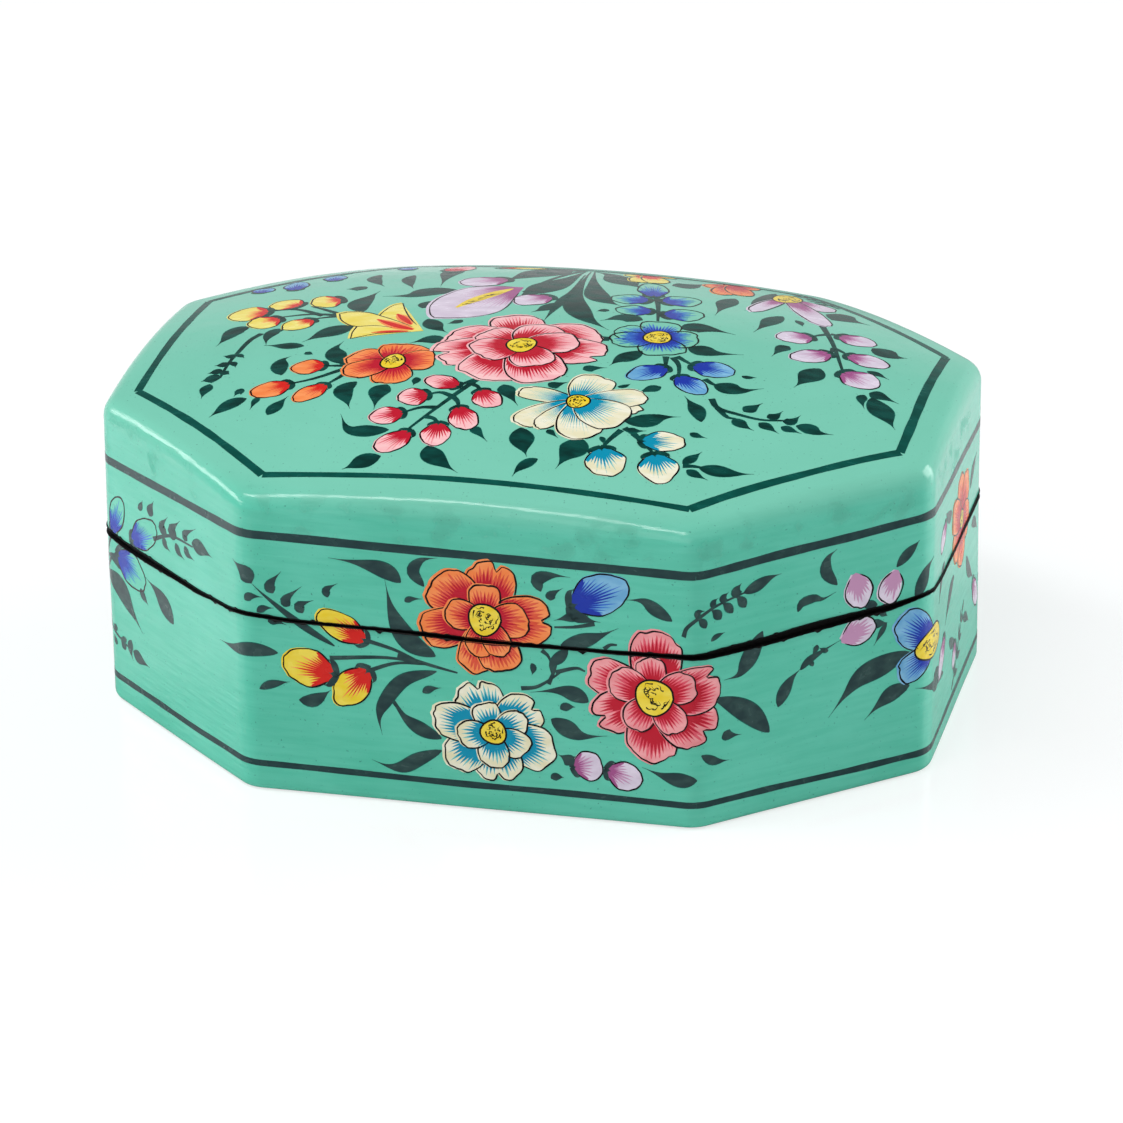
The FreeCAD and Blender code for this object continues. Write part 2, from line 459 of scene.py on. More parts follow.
LINING = 0.3
base_lining = mould("base_lining_paper", (
    *reversed(towards_middle(SHELL_HOLLOW, FLAT_SHARES, FLOOR)),
    level(SHELL_HOLLOW, FLOOR),
    level(SHELL_HOLLOW, cut),
    level(SHELL_HOLLOW + LINING, cut),
    level(SHELL_HOLLOW + LINING, FLOOR + LINING),
    *towards_middle(SHELL_HOLLOW + LINING, FLAT_SHARES, FLOOR + LINING),
))

black_paper = Finish("black_lining_paper", colour(30, 28, 31), {"Specular IOR Level": 0.35})
paper_wrinkles = black_paper.place.cloud(6, 5)
black_paper.feed("Roughness", black_paper.place.cloud(2) * 0.25 + 0.45)
black_paper.emboss(paper_wrinkles, 0.6)
put(base_lining, black_paper, "base", "base_lining")

# The ground coat of the lower half: chalk, green paint and clear lacquer, rubbed down between
# coats. It stops short of the rim, and the black rim shows as the dark seam.

SEAM_REVEAL = (
    (0, 0.24), (20, 0.16), (44, 0.36), (58, 0.16), (74, 0.26), (88, 0.62), (106, 0.74), (117, 0.5),
    (127, 0.2), (150, 0.18), (178, 0.4), (240, 0.2), (290, 0.44), (330, 0.3), (380, 0.45),
    (403, 0.5), (415, 0.6), (432, 0.36), (442, 0.18),
)


def reveal(way):
    """How far a coat's edge stands back from the cut there."""
    return round_list(SEAM_REVEAL, way)


FOOT_STEPS = 5
foot_rings = [
    level(FOOT_ROUND * (1 - math.cos(step / FOOT_STEPS * math.pi / 2)),
          FOOT_ROUND * (1 - math.sin(step / FOOT_STEPS * math.pi / 2)))
    for step in range(FOOT_STEPS, -1, -1)
]
WALL_ROWS = 12
EDGE_ROUND = 0.2


def base_wall(way, share):
    """A point of the base's outer wall, from the rounded foot at 0 to just below the cut at 1."""
    high = cut(way) - reveal(way) - EDGE_ROUND
    return (*plan(way, 0), FOOT_ROUND + (high - FOOT_ROUND) * share)


base_coat = mould("base_ground_coat_green", (
    *foot_rings,
    *[lambda way, share=row / WALL_ROWS: base_wall(way, share) for row in range(1, WALL_ROWS + 1)],
    level(EDGE_ROUND, lambda way: cut(way) - reveal(way)),
    level(COAT, lambda way: cut(way) - reveal(way)),
    level(COAT, FOOT_BEVEL),
    level(FOOT_BEVEL + COAT, 0),
), closed_loop=True)

LACQUER = {"Specular IOR Level": 0.38}
GREEN = colour(94, 198, 172)
GREEN_DEEP = colour(87, 192, 165)
GREEN_PALE = colour(101, 203, 178)
GREEN_OF_PAINTED_SHEEN = colour(132, 206, 183)
GREEN_OF_SHOULDER_PATCHES = colour(62, 152, 128)
DUST = colour(40, 90, 82)
PAINTED_SHEEN_BEGINS = (0.053, 0.058)
SHOULDER_BAND_FROM = (0.047, 0.051)
SHOULDER_BAND_TO = (0.055, 0.058)


def lacquer_relief(place):
    """The faint brush marks and ripples that the lacquer leaves over ground and painting alike."""
    ripples = place.cloud(7, 2)
    brushed = place.cloud(0.8, 2, (0.12, 0.12, 1))
    return ripples * 0.7 + brushed * 0.3


def green_lacquer(name):
    finish = Finish(name, GREEN, LACQUER)
    place = finish.place
    patches = place.cloud(22, 3).between(0.3, 0.7)
    brushed = place.cloud(1.1, 3, (0.1, 0.1, 1)).between(0.35, 0.65)
    tone = (patches * 0.6 + brushed * 0.4).blend(GREEN_DEEP, GREEN_PALE)
    high = place.node("ShaderNodeSeparateXYZ", {}, {"Vector": place}, 2)
    on_shoulder = high.between(*SHOULDER_BAND_FROM) * (1 - high.between(*SHOULDER_BAND_TO))
    # Painted sheen: above the shoulder the green is blended most of the way to a paler green, standing
    # in for the shine of the lacquer on the lid's top.
    painted_sheen_on_top = high.between(*PAINTED_SHEEN_BEGINS) * 0.7
    tone = painted_sheen_on_top.blend(tone, GREEN_OF_PAINTED_SHEEN)
    # Darker green patches, where the lacquer is also rougher, are scattered in a band round the lid's
    # shoulder.
    shoulder_patches = place.cloud(4.5, 5).between(0.52, 0.68) * on_shoulder
    tone = (shoulder_patches * 0.28).blend(tone, GREEN_OF_SHOULDER_PATCHES)
    dust = place.cloud(0.45, 1).between(0.735, 0.76)
    finish.feed("Base Color", (dust * 0.5).blend(tone, DUST))
    finish.feed("Roughness", patches * 0.05 + shoulder_patches * 0.22 + 0.14)
    finish.emboss(lacquer_relief(place), 0.2)
    return finish


green = green_lacquer("green_lacquer")
put(base_coat, green, "base", "base_ground_coat")

# The upper half: the other part of the same pressed box, with a low domed top and a broad, soft
# shoulder. Its cut rim is painted black too.

DOME_REACH_ALONG = 134
DOME_REACH_ACROSS = 92
DOME_RISE = 40
CROWN = coat_high.z
SHOULDER_ROUND = 3.6
SHOULDER_STEPS = 7
HIDDEN_SHOULDER_STEPS = 3
LID_HOLLOW = 3.4


def dome(x, y):
    """The height of the lid's outside over a point of the plan."""
    left = 1 - (x / DOME_REACH_ALONG) ** 2 - (y / DOME_REACH_ACROSS) ** 2
    return CROWN - DOME_RISE + DOME_RISE * math.sqrt(max(0.02, left))


def shoulder(way, inset, share):
    """A point of the round between wall and dome, and where it leaves the wall at a share of 0."""
    slope = (
        dome(*plan(way, SHOULDER_ROUND)) - dome(*plan(way, SHOULDER_ROUND / 2))
    ) / (SHOULDER_ROUND / 2)
    lean = math.atan(slope)
    meets = SHOULDER_ROUND * (1 - math.sin(lean))
    middle = dome(*plan(way, meets)) - SHOULDER_ROUND * math.cos(lean)
    radius = SHOULDER_ROUND - inset
    turned = (math.pi / 2 - lean) * share
    across = SHOULDER_ROUND - radius * math.cos(turned)
    return (*plan(way, across), middle + radius * math.sin(turned))


def shoulder_rings(inset, steps):
    return [
        lambda way, share=step / steps: shoulder(way, inset, share) for step in range(steps + 1)
    ]


DOME_START = 6.2
DOME_ROWS = 26
dome_shares = [row / DOME_ROWS for row in range(DOME_ROWS)] + [1]
CEILING_SHARES = (0, 0.15, 0.3, 0.45, 0.6, 0.75, 0.9, 1)
ceiling_rings = towards_middle(DOME_START, CEILING_SHARES, lambda x, y: dome(x, y) - LID_HOLLOW)
shell_rings = towards_middle(DOME_START, CEILING_SHARES, lambda x, y: dome(x, y) - COAT)
lid_shell = mould("lid_shell_pulp", (
    *reversed(ceiling_rings),
    level(LID_HOLLOW, lambda way: shoulder(way, LID_HOLLOW, 0)[2]),
    level(LID_HOLLOW, cut),
    level(COAT, cut),
    *shoulder_rings(COAT, HIDDEN_SHOULDER_STEPS),
    *shell_rings,
))
put(lid_shell, black_rim, "lid", "lid_shell")

# The lining of the upper half: the same thin black paper, over the walls and the hollow dome.

deep_rings = towards_middle(
    DOME_START, CEILING_SHARES, lambda x, y: dome(x, y) - LID_HOLLOW - LINING
)
lid_lining = mould("lid_lining_paper", (
    *reversed(ceiling_rings),
    level(LID_HOLLOW, lambda way: shoulder(way, LID_HOLLOW, 0)[2]),
    level(LID_HOLLOW, cut),
    level(LID_HOLLOW + LINING, cut),
    level(LID_HOLLOW + LINING, lambda way: shoulder(way, LID_HOLLOW, 0)[2] - LINING),
    *deep_rings,
))
put(lid_lining, black_paper, "lid", "lid_lining")

# The ground coat of the upper half, chalk, green paint and lacquer as on the lower one. It is the
# skin that shows: the lid's walls, the soft shoulder and the dome.

LID_ROWS = 9


def lid_wall(way, share):
    """A point of the lid's outer wall, from just above the cut at 0 to the shoulder at 1."""
    low = cut(way) + reveal(way) + EDGE_ROUND
    return (*plan(way, 0), low + (shoulder(way, 0, 0)[2] - low) * share)


lid_coat = mould("lid_ground_coat_green", (
    level(COAT, lambda way: cut(way) + reveal(way)),
    level(EDGE_ROUND, lambda way: cut(way) + reveal(way)),
    *[lambda way, share=row / LID_ROWS: lid_wall(way, share) for row in range(LID_ROWS)],
    *shoulder_rings(0, SHOULDER_STEPS),
    *towards_middle(DOME_START, dome_shares, dome),
    *reversed(towards_middle(DOME_START, CEILING_SHARES, lambda x, y: dome(x, y) - COAT)),
    *reversed(shoulder_rings(COAT, HIDDEN_SHOULDER_STEPS)),
), closed_loop=True)
put(lid_coat, green, "lid", "lid_ground_coat")

# The painting: thick colours laid on the green ground with fine brushes, pale petals first, then
# deep strokes and a dark outline, under the last coats of lacquer. The box was painted closed, so
# a flower that crosses the seam is cut in two with it. Places are pixels of the photo.

SEEN_WALLS = (-1, 0, 1, 2)


def sight_through(u, v):
    """The line of sight from the camera through a pixel of the photo."""
    middle = PHOTO_SIDE / 2
    return (view_right * (u - middle) - view_up * (v - middle)) / VIEW_FOCUS - view_back


def on_walls(u, v):
    """The way round and the height on the walls that a pixel of the photo shows."""
    sight = sight_through(u, v)
    found = []
    for number in SEEN_WALLS:
        outward = faces_out[number].to_3d()
        depth = outward.dot(turns[number].to_3d() - view_from) / outward.dot(sight)
        hit = view_from + sight * depth
        along = runs[number].dot(hit.xy - turns[number])
        past = max(0, -along, along - lengths[number])
        start = starts[number] - (GIRTH if number < 0 else 0)
        found.append((past, start + along, hit.z))
    return Vector(min(found)[1:])


BORDER_INSET = 6.35
BORDER_WIDTH = 1.7
BORDER_GAP = 0.5
DOME_TRIES = 70


def kept_in(spot, inset):
    """The spot, or the nearest one that lies an inset or more inside the edge of the plan."""
    for turn, outward in zip(turns, faces_out):
        spot = spot + outward * min(0, outward.dot(turn - spot) - inset)
    return spot


def on_dome(u, v):
    """The place on the lid's top that a pixel of the photo shows, inside the lid's border."""
    sight = sight_through(u, v)
    height = CROWN
    for _ in range(DOME_TRIES):
        hit = view_from + sight * ((height - view_from.z) / sight.z)
        spot = kept_in(hit.xy, BORDER_INSET + BORDER_WIDTH / 2 + BORDER_GAP)
        height = dome(*spot)
    return spot


class Ground:
    """A surface to paint on: its name, and how a place of the drawing is found on it."""

    def __init__(self, name, find, turned=0):
        self.name, self.find, self.turned = name, find, turned

    def __call__(self, *place):
        return self.find(*place) + Vector((self.turned, 0))


def breadth(ground, base, tip, width):
    """A width in pixels, measured across a stroke in the photo, in millimetres on the box."""
    base, tip = Vector(base), Vector(tip)
    across = (tip - base).orthogonal().normalized() * width / 2
    middle = (base + tip) / 2
    axis = (ground(*tip) - ground(*base)).normalized()
    return abs(axis.cross(ground(*(middle + across)) - ground(*(middle - across))))


LAYER = 0.0025
FIRST_COAT = 0.02
sheets = {}


def daub(paint, ground, columns, rows, place, layer):
    """Lay one touch of paint: a small net whose columns and rows a function sets in place."""
    if (paint, ground.name) not in sheets:
        sheets[paint, ground.name] = bmesh.new()
    net = sheets[paint, ground.name]
    made = bmesh.ops.create_grid(net, x_segments=columns, y_segments=rows, size=0.5)
    for knot in made["verts"]:
        spot = place(knot.co.x + 0.5, knot.co.y + 0.5)
        knot.co = (spot.x, spot.y, FIRST_COAT + LAYER * layer)


ALMOST_ALL = 0.9999


def along_line(points, share):
    """A point on a soft line through given points."""
    place = min(share, ALMOST_ALL) * (len(points) - 1)
    index = int(place)
    part = place - index
    one, two = points[index], points[index + 1]
    before = points[index - 1] if index else one * 2 - two
    after = points[index + 2] if index + 2 < len(points) else two * 2 - one
    curve = before * 2 - one * 5 + two * 4 - after
    twist = one * 3 - two * 3 + after - before
    return one + (two - before + (curve + twist * part) * part) * part / 2


TOUCH = 1.1
PULL = 0.7
LEAST_PULLS = 9
SHARE_AHEAD = 0.01


def stroke(paint, ground, points, width, layer, across=1):
    """One pull of the brush along a line, its width in millimetres given at each share of it."""
    length = sum((two - one).length for one, two in zip(points, points[1:]))
    columns = max(LEAST_PULLS, math.ceil(length / PULL))

    def place(share, side):
        ahead = along_line(points, min(share + SHARE_AHEAD, 1))
        ahead -= along_line(points, max(share - SHARE_AHEAD, 0))
        aside = ahead.orthogonal().normalized()
        return along_line(points, share) + aside * (width(share) * (side - 0.5))

    daub(paint, ground, columns, across, place, layer)


def stem(paint, ground, pixels, layer=0, thick=0.85):
    """A stem: one line that ends finer than it starts."""
    stroke(paint, ground, [ground(*pixel) for pixel in pixels],
           lambda share: thick * (1 - 0.6 * share), layer)


LEAF_PAINTS = {"walls": "leaf_of_walls", "dome": "leaf_of_lid"}
LEAF_EDGES = {"walls": "leaf_edge_of_walls", "dome": "leaf_edge_of_lid"}
LEAF_FULLNESS = {"walls": 0.82, "dome": 0.9}
LEAF_RIM = 0.3
LEAF_STALK = 0.24
LEAF_BOW = (0.06, 0.14)


def leaf(ground, pixels, width, belly=0.68, layer=1):
    """A leaf in one pull: a thin stalk, a broad belly and a tip drawn out as thin as a hair."""
    points = [ground(*pixel) for pixel in pixels]
    wide = breadth(ground, pixels[0], pixels[-1], width) * LEAF_FULLNESS[ground.name]
    axis = points[-1] - points[0]
    if len(points) == 2:
        hand = random.Random(round(pixels[0][0] * 7 + pixels[0][1]))
        side = axis.orthogonal() * hand.choice((-1, 1)) * hand.uniform(*LEAF_BOW)
        points[1:1] = [points[0] + axis * 0.34 + side, points[0] + axis * 0.72 + side * 0.6]

    def width_at(share, more=0.0):
        body = math.sin(math.pi * share ** belly) ** (1.15 + 1.3 * share)
        return (wide + more) * body + LEAF_STALK * (1 - share * 0.8)

    def rim_at(share):
        return width_at(share, LEAF_RIM)

    across = max(1, math.ceil(wide / TOUCH))
    stroke(LEAF_EDGES[ground.name], ground, points, rim_at, layer - 0.6, across)
    stroke(LEAF_PAINTS[ground.name], ground, points, width_at, layer, across)


TIP_SHARE = 0.62
HAIR = 0.95
SHAKE = 0.08
FINE_SHAKE = 0.035
NOTCH_SPAN = 0.055
FLANK_FROM = 0.42
FLANK_RISE = 0.3
MOST_OF_PETAL = 0.96


class Petal:
    """The shape of a petal or bud on the ground, from its base to its tip."""

    def __init__(self, base, tip, width, belly=0.6, root=0.3, blunt=0.7, notch=None, deep=0.16):
        self.base, self.width = base, width
        self.length = (tip - base).length
        self.along = (tip - base) / self.length
        self.across = Vector((self.along.y, -self.along.x))
        self.belly, self.root, self.blunt, self.deep = belly, root, blunt, deep
        self.seed = base.x * 3.7 + tip.y * 1.3 + tip.x
        self.steps = max(10, math.ceil((self.length + width) * 1.5 / TOUCH))
        self.notch = None
        if notch:
            aside = self.across.dot(notch - base) / (width / 2)
            self.notch = math.asin(max(-0.9, min(0.9, aside))) * TIP_SHARE * 2 / math.pi

    def heart(self, turn):
        return self.base + self.across * (self.root * self.width / 2 * turn)

    def edge(self, turn):
        """A point of the outline: -1 and 1 are at the base, 0 is the tip."""
        size = abs(turn)
        if size < TIP_SHARE:
            swing = size / TIP_SHARE * math.pi / 2
            ahead = self.belly + (1 - self.belly) * math.cos(swing) ** self.blunt
            aside = math.sin(swing)
        else:
            swing = (size - TIP_SHARE) / (1 - TIP_SHARE)
            ahead = self.belly * (1 - swing)
            aside = self.root + (1 - self.root) * math.cos(swing * math.pi / 2)
        shake = 1 + SHAKE * noise.noise(Vector((turn * 2.6, self.seed, 0.3)))
        shake += FINE_SHAKE * noise.noise(Vector((turn * 8, self.seed, 2.7)))
        if self.notch is not None:
            ahead -= self.deep * math.exp(-(((turn - self.notch) / NOTCH_SPAN) ** 2))
        aside = math.copysign(aside * self.width / 2, turn)
        return self.base + (self.along * ahead * self.length + self.across * aside) * shake

    def fill(self, paint, ground, layer, halo=(0, 0), swell=1.03):
        shift = Vector(halo)

        def place(column, row):
            start = self.heart(column * 2 - 1)
            return start + (self.edge(column * 2 - 1) * swell - start * swell + shift) * row

        daub(paint, ground, self.steps, max(2, math.ceil(self.length / TOUCH)), place, layer)

    def comb(self, paint, ground, layer, hidden, reach, valley, sides=0.4, span=0.95):
        """Deep paint at the base and a share of the sides, drawn out to the tip in fine hairs."""
        hand = random.Random(round(self.seed * 100 + layer))
        teeth = max(4, round((self.length * 1.5 + self.width * 0.8) / HAIR))
        peaks = [hand.uniform(0.78, 1.1) for _ in range(teeth)]

        def place(column, row):
            turn = (column * 2 - 1) * span
            tooth = min(int(column * teeth), teeth - 1)
            spike = 1 - abs(2 * (column * teeth - tooth) - 1)
            drawn = reach * peaks[tooth] * (valley + (1 - valley) * spike) * (1 - 0.3 * turn * turn)
            start = self.heart(turn)
            height = min(hidden + (1 - hidden) * drawn, 0.95)
            flank = min(1, max(0, (abs(turn) - FLANK_FROM) / FLANK_RISE))
            height += (MOST_OF_PETAL - height) * sides * flank * flank * (3 - 2 * flank)
            return start + (self.edge(turn) - start) * (row * height)

        daub(paint, ground, teeth * 4, max(2, math.ceil(self.length / 2)), place, layer)

    def outline(self, paint, ground, layer, span=0.94):
        def place(column, row):
            turn = (column * 2 - 1) * span
            ahead = self.edge(turn + SHARE_AHEAD) - self.edge(turn - SHARE_AHEAD)
            press = 0.8 + 0.5 * noise.noise(Vector((turn * 3, self.seed, 5.1)))
            width = INK_WIDTH * press * min(1, (1 - abs(column * 2 - 1)) * 14 + 0.25)
            return self.edge(turn) + ahead.orthogonal().normalized() * (width * (row - 0.5))

        daub(paint, ground, self.steps * 2, 1, place, layer)


class DrawnPetal(Petal):
    """A petal whose outline is listed point by point: soft lines from corner to corner, back to its
    base.
    """

    def __init__(self, ground, spans):
        self.spans = [[ground(*pixel) for pixel in span] for span in spans]
        base, tip = self.spans[0][0], self.spans[len(spans) // 2][0]
        super().__init__(base, tip, (tip - base).length / 2)
        self.steps = 12 * len(spans)

    def heart(self, turn):
        return self.base

    def edge(self, turn):
        place = min(max((turn + 1) / 2, 0), ALMOST_ALL) * len(self.spans)
        return along_line(self.spans[int(place)], place % 1)


PETAL_LAYERS = 4
RIM_STEPS = 12
INK_WIDTH = 0.34
CURL_WIDTH = 0.27


def coloured(made, ground, paints, layer, halo, hidden=0.0, sides=0.4):
    """Colour a petal or bud in: pale all over, deeper towards its base, and a thin outline."""
    pale, *deeper = paints
    if pale:
        made.fill(pale, ground, layer, halo)
    for step, (paint, reach, valley) in enumerate(deeper, 1):
        made.comb(paint, ground, layer + step, hidden, reach, valley, sides)
    made.outline("ink", ground, layer + 3)


def petal(ground, base, mark, paints, layer, hidden=0.0, **shape):
    """A petal from a mark of the photo: tip, width and perhaps the pixel of its notch."""
    tip, width = mark[:2], mark[2]
    notch = ground(*mark[3:5]) if len(mark) > 3 else None
    made = Petal(ground(*base), ground(*tip), breadth(ground, base, tip, width), notch=notch, **shape)
    coloured(made, ground, paints, layer, (-0.3, 0.1), hidden)


def disc(ground, centre, radii, layer, squiggles=26):
    """The yellow heart of a flower, with a dark rim and curls of ink over it."""
    middle = ground(*centre)
    wide = (ground(centre[0] + radii[0], centre[1]) - middle).length
    tall = (ground(centre[0], centre[1] - radii[1]) - middle).length
    hand = random.Random(round(sum(centre)))

    def rim(share, size=1.0):
        swing = share * 2 * math.pi
        wave = 1 + 0.05 * math.sin(swing * 3 + centre[0])
        return middle + Vector((math.cos(swing) * wide, math.sin(swing) * tall)) * (size * wave)

    daub("yellow", ground, 20, 2, lambda column, row: middle + (rim(column) - middle) * row, layer)
    ring = [rim(step / RIM_STEPS) for step in range(RIM_STEPS + 1)]
    stroke("ink", ground, ring, lambda share: INK_WIDTH, layer + 1)
    for _ in range(squiggles):
        start = hand.random()
        size = hand.uniform(0.15, 0.8)
        curl = [
            rim(start + step * 0.035, size + step * hand.uniform(-0.07, 0.07)) for step in range(4)
        ]
        stroke("ink", ground, curl, lambda share: CURL_WIDTH * (1.1 - share), layer + 1)


def rose(ground, flower, paints, layer=3):
    """A double rose: a ring of broad outer petals, a ring of small inner ones and its heart."""
    for ring, hidden in (("outer", 0.5 if "inner" in flower else 0.22), ("inner", 0.3)):
        for mark in flower.get(ring, ()):
            petal(ground, flower["centre"], mark, paints, layer, hidden)
            layer += PETAL_LAYERS
    disc(ground, flower["centre"], flower["disc"], layer)


def bud(ground, base, tip, width, paints, layer=4):
    """A bud: a pale egg, deep at its base, outlined all round, in a small dark cup."""
    made = Petal(ground(*base), ground(*tip), breadth(ground, base, tip, width), belly=0.46, blunt=1.15)
    coloured(made, ground, paints, layer, (-0.15, 0.05), sides=1)
    foot = made.base - made.along * made.length * 0.1
    for side in (-1, 0, 1):
        end = made.base + made.along * made.length * (0.16 if side else 0.08)
        end += made.across * side * made.width * 0.34
        bent = (foot + end) / 2 + made.across * side * made.width * 0.12

        def broad(share):
            return made.width * 0.15 * math.sin(math.pi * min(1, share + 0.2)) + 0.12

        stroke(LEAF_PAINTS[ground.name], ground, [foot, bent, end], broad, layer + 4, 2)


def sprig(paint, ground, pixels, pairs, size, layer=1, lean=0.9):
    """A fern-like sprig: a stem with pairs of small leaves and one more at its end."""
    line = [ground(*pixel) for pixel in pixels]
    stroke(paint, ground, line, lambda share: 0.62 - 0.4 * share, layer)
    hand = random.Random(round(pixels[0][0] + pixels[0][1]))
    places = [
        (0.18 + 0.66 * pair / max(1, pairs - 1), side) for pair in range(pairs) for side in (-1, 1)
    ]
    for share, side in (*places, (0.97, 0)):
        root = along_line(line, share)
        ahead = (along_line(line, min(1, share + 0.05)) - along_line(line, share - 0.05)).normalized()
        out = ahead.copy()
        out.rotate(Matrix.Rotation(side * lean * hand.uniform(0.8, 1.15), 2))
        reach = size * hand.uniform(0.8, 1.15) * (1 - 0.35 * share)
        bowed = root + out * reach * 0.5 + ahead * reach * 0.1
        end = root + out * reach + ahead * reach * 0.25

        def plump(part):
            return reach * 0.44 * math.sin(math.pi * part ** 0.8) ** 1.3 + 0.12

        stroke(paint, ground, [root, bowed, end], plump, layer)


# The stripes: a dark line along the edge of the lid's top, one round the lid's walls and one just
# above the foot, each drawn wall by wall in one pull, so that they meet unevenly at the corners.

WAVER = 0.22
WAVER_SPOT = 17
PRESSURE = 0.16


def hand_line(paint, ground, one, two, width):
    """A long straight pull that wavers a little in place and in width."""
    run = two - one
    middle = [one + run * (step / 6) for step in range(7)]
    bow = run.orthogonal().normalized()
    points = [
        point + bow * WAVER * noise.noise(Vector((point.x / WAVER_SPOT, point.y / WAVER_SPOT, width)))
        for point in middle
    ]

    def pressed(share):
        return width * (1 + PRESSURE * noise.noise(Vector((share * 9, one.x, one.y))))

    stroke(paint, ground, points, pressed, 1)


def border_corner(number):
    """Where two sides of the border meet on the lid's top."""
    facing = faces_out[number - 1] + faces_out[number % WALLS]
    return turns[number % WALLS] - facing * (BORDER_INSET / (1 + math.cos(bends[number % WALLS])))


lid_top = Ground("dome", lambda x, y: Vector((x, y)))
near_walls = Ground("walls", on_walls)
far_walls = Ground("walls", on_walls, GIRTH / 2)
BORDER_WIDTHS = (1.3, 1.75, 1.6, 1.5, 1.4, 1.6, 1.5, 1.45)
for number, border_width in enumerate(BORDER_WIDTHS):
    hand_line("border", lid_top, border_corner(number), border_corner(number + 1), border_width)

LID_STRIPE_WIDTH = 1.6
LID_STRIPE = ((100, 456), (237, 531), (683, 575.5), (936, 509))
BASE_STRIPE_WIDTH = 1.2
BASE_STRIPE = ((104, 666), (246, 760), (690, 806), (936, 735))
for stripe, stripe_width in ((LID_STRIPE, LID_STRIPE_WIDTH), (BASE_STRIPE, BASE_STRIPE_WIDTH)):
    heights = [on_walls(*place).y for place in stripe]
    for number, height, next_height in zip(SEEN_WALLS, heights, heights[1:] + heights[:1]):
        start = starts[number] - (GIRTH if number < 0 else 0)
        for ground in (near_walls, far_walls):
            begin = Vector((start + ground.turned, height))
            end = Vector((start + ground.turned + lengths[number], next_height))
            hand_line("stripe", ground, begin, end, stripe_width)

# The flowers of the walls. What the photo shows is painted again on the far side, where nobody
# photographed it, with the pink and the orange roses changed about.

# Each palette is a pale paint for the whole petal and up to two deeper ones, with how far they
# reach along it and how deep the notches between their hairs are.

PINK = ("blush", ("rose", 0.96, 0.6), ("crimson", 0.74, 0.5))
SHELL_PINK = ("shell", ("rose", 0.9, 0.5), ("crimson", 0.68, 0.5))
ORANGE = ("peach", ("vermilion", 0.96, 0.6), ("crimson", 0.64, 0.45))
WHITE = ("cream", ("aqua", 0.86, 0.45), ("turquoise", 0.72, 0.5))
BLUE = ("sky", ("azure", 0.9, 0.5), ("blue", 0.76, 0.5))
BLUE_LINES = (None, ("azure", 0.84, 0.5), ("blue", 0.58, 0.5))
LILAC = ("lilac", ("orchid", 0.74, 0.5), ("mauve", 0.46, 0.5))
DUSKY = ("lilac", ("orchid", 0.92, 0.7))
YELLOW_RED = ("yellow", ("peach", 0.8, 0.55), ("scarlet", 0.7, 0.5))
LEMON_RED = ("lemon", ("peach", 0.62, 0.5), ("scarlet", 0.46, 0.5))
GOLD = ("lemon",)
CALLA_LILAC = ("lilac", ("orchid", 0.8, 0.55), ("mauve", 0.5, 0.5))
WHITE_STREAKED = ("cream", ("aqua", 0.84, 0.25), ("turquoise", 0.5, 0.35))
EMBER = ("peach", ("vermilion", 0.66, 0.5), ("scarlet", 0.5, 0.5))

LEFT_ROSE = {
    "centre": (484.4, 619.1), "disc": (16, 16),
    "outer": (
        (493, 561.4, 52, 496.5, 565.7), (432.5, 577.5, 46), (421.6, 631, 40), (476.7, 672, 40),
        (507.7, 670.8, 40), (549, 620, 50, 544.7, 620.8),
    ),
    "inner": (
        (484.4, 583.8, 31), (445.7, 610.5, 30), (527.5, 620.8, 34), (476.7, 654.4, 28),
        (505.1, 654.4, 26),
    ),
}
RIGHT_ROSE = {
    "centre": (654, 697.2), "disc": (19, 18),
    "outer": (
        (656.8, 631.9, 54), (590.6, 669.4, 38), (593.9, 719.4, 46, 599, 718.5), (651.2, 760.1, 52),
        (708.6, 736, 52, 705, 731), (720.6, 680.5, 48, 714.6, 673),
    ),
    "inner": (
        (648.9, 657.4, 30), (610.5, 676.8, 32), (694.7, 682.4, 32), (630, 725.8, 33),
        (680.8, 731.4, 30),
    ),
}
WHITE_ROSE = {
    "centre": (494.2, 731.8), "disc": (13, 12),
    "outer": (
        (473.1, 682.8, 46, 477, 684.5), (536.8, 703.4, 46, 535, 707.7), (554.9, 755.1, 42),
        (503.2, 781.4, 46, 500.2, 779.7), (451.5, 762, 40), (435.2, 715.5, 36),
    ),
    "inner": (
        (483.4, 702.1, 27), (526.5, 718.9, 28), (529.1, 750.8, 27), (493.7, 766.7, 31),
        (459.7, 735.3, 28),
    ),
}
CORNER_FLOWER = {
    "centre": (933.5, 641), "disc": (5, 15),
    "outer": ((900, 622, 40), (900, 677, 25)),
}
WALL_BUDS = (
    ((365, 640), (321, 614), 27, YELLOW_RED), ((333, 674), (283, 661), 38, YELLOW_RED),
    ((368, 671), (337, 703), 35, YELLOW_RED), ((573, 605), (625, 584), 44, BLUE),
    ((574, 767), (603, 764), 30, LILAC), ((608, 770), (642, 782), 28, LILAC),
    ((113, 531), (121, 497), 17, BLUE_LINES), ((133, 541), (155, 527), 31, BLUE_LINES),
    ((119, 555), (146, 585), 24, BLUE_LINES),
)
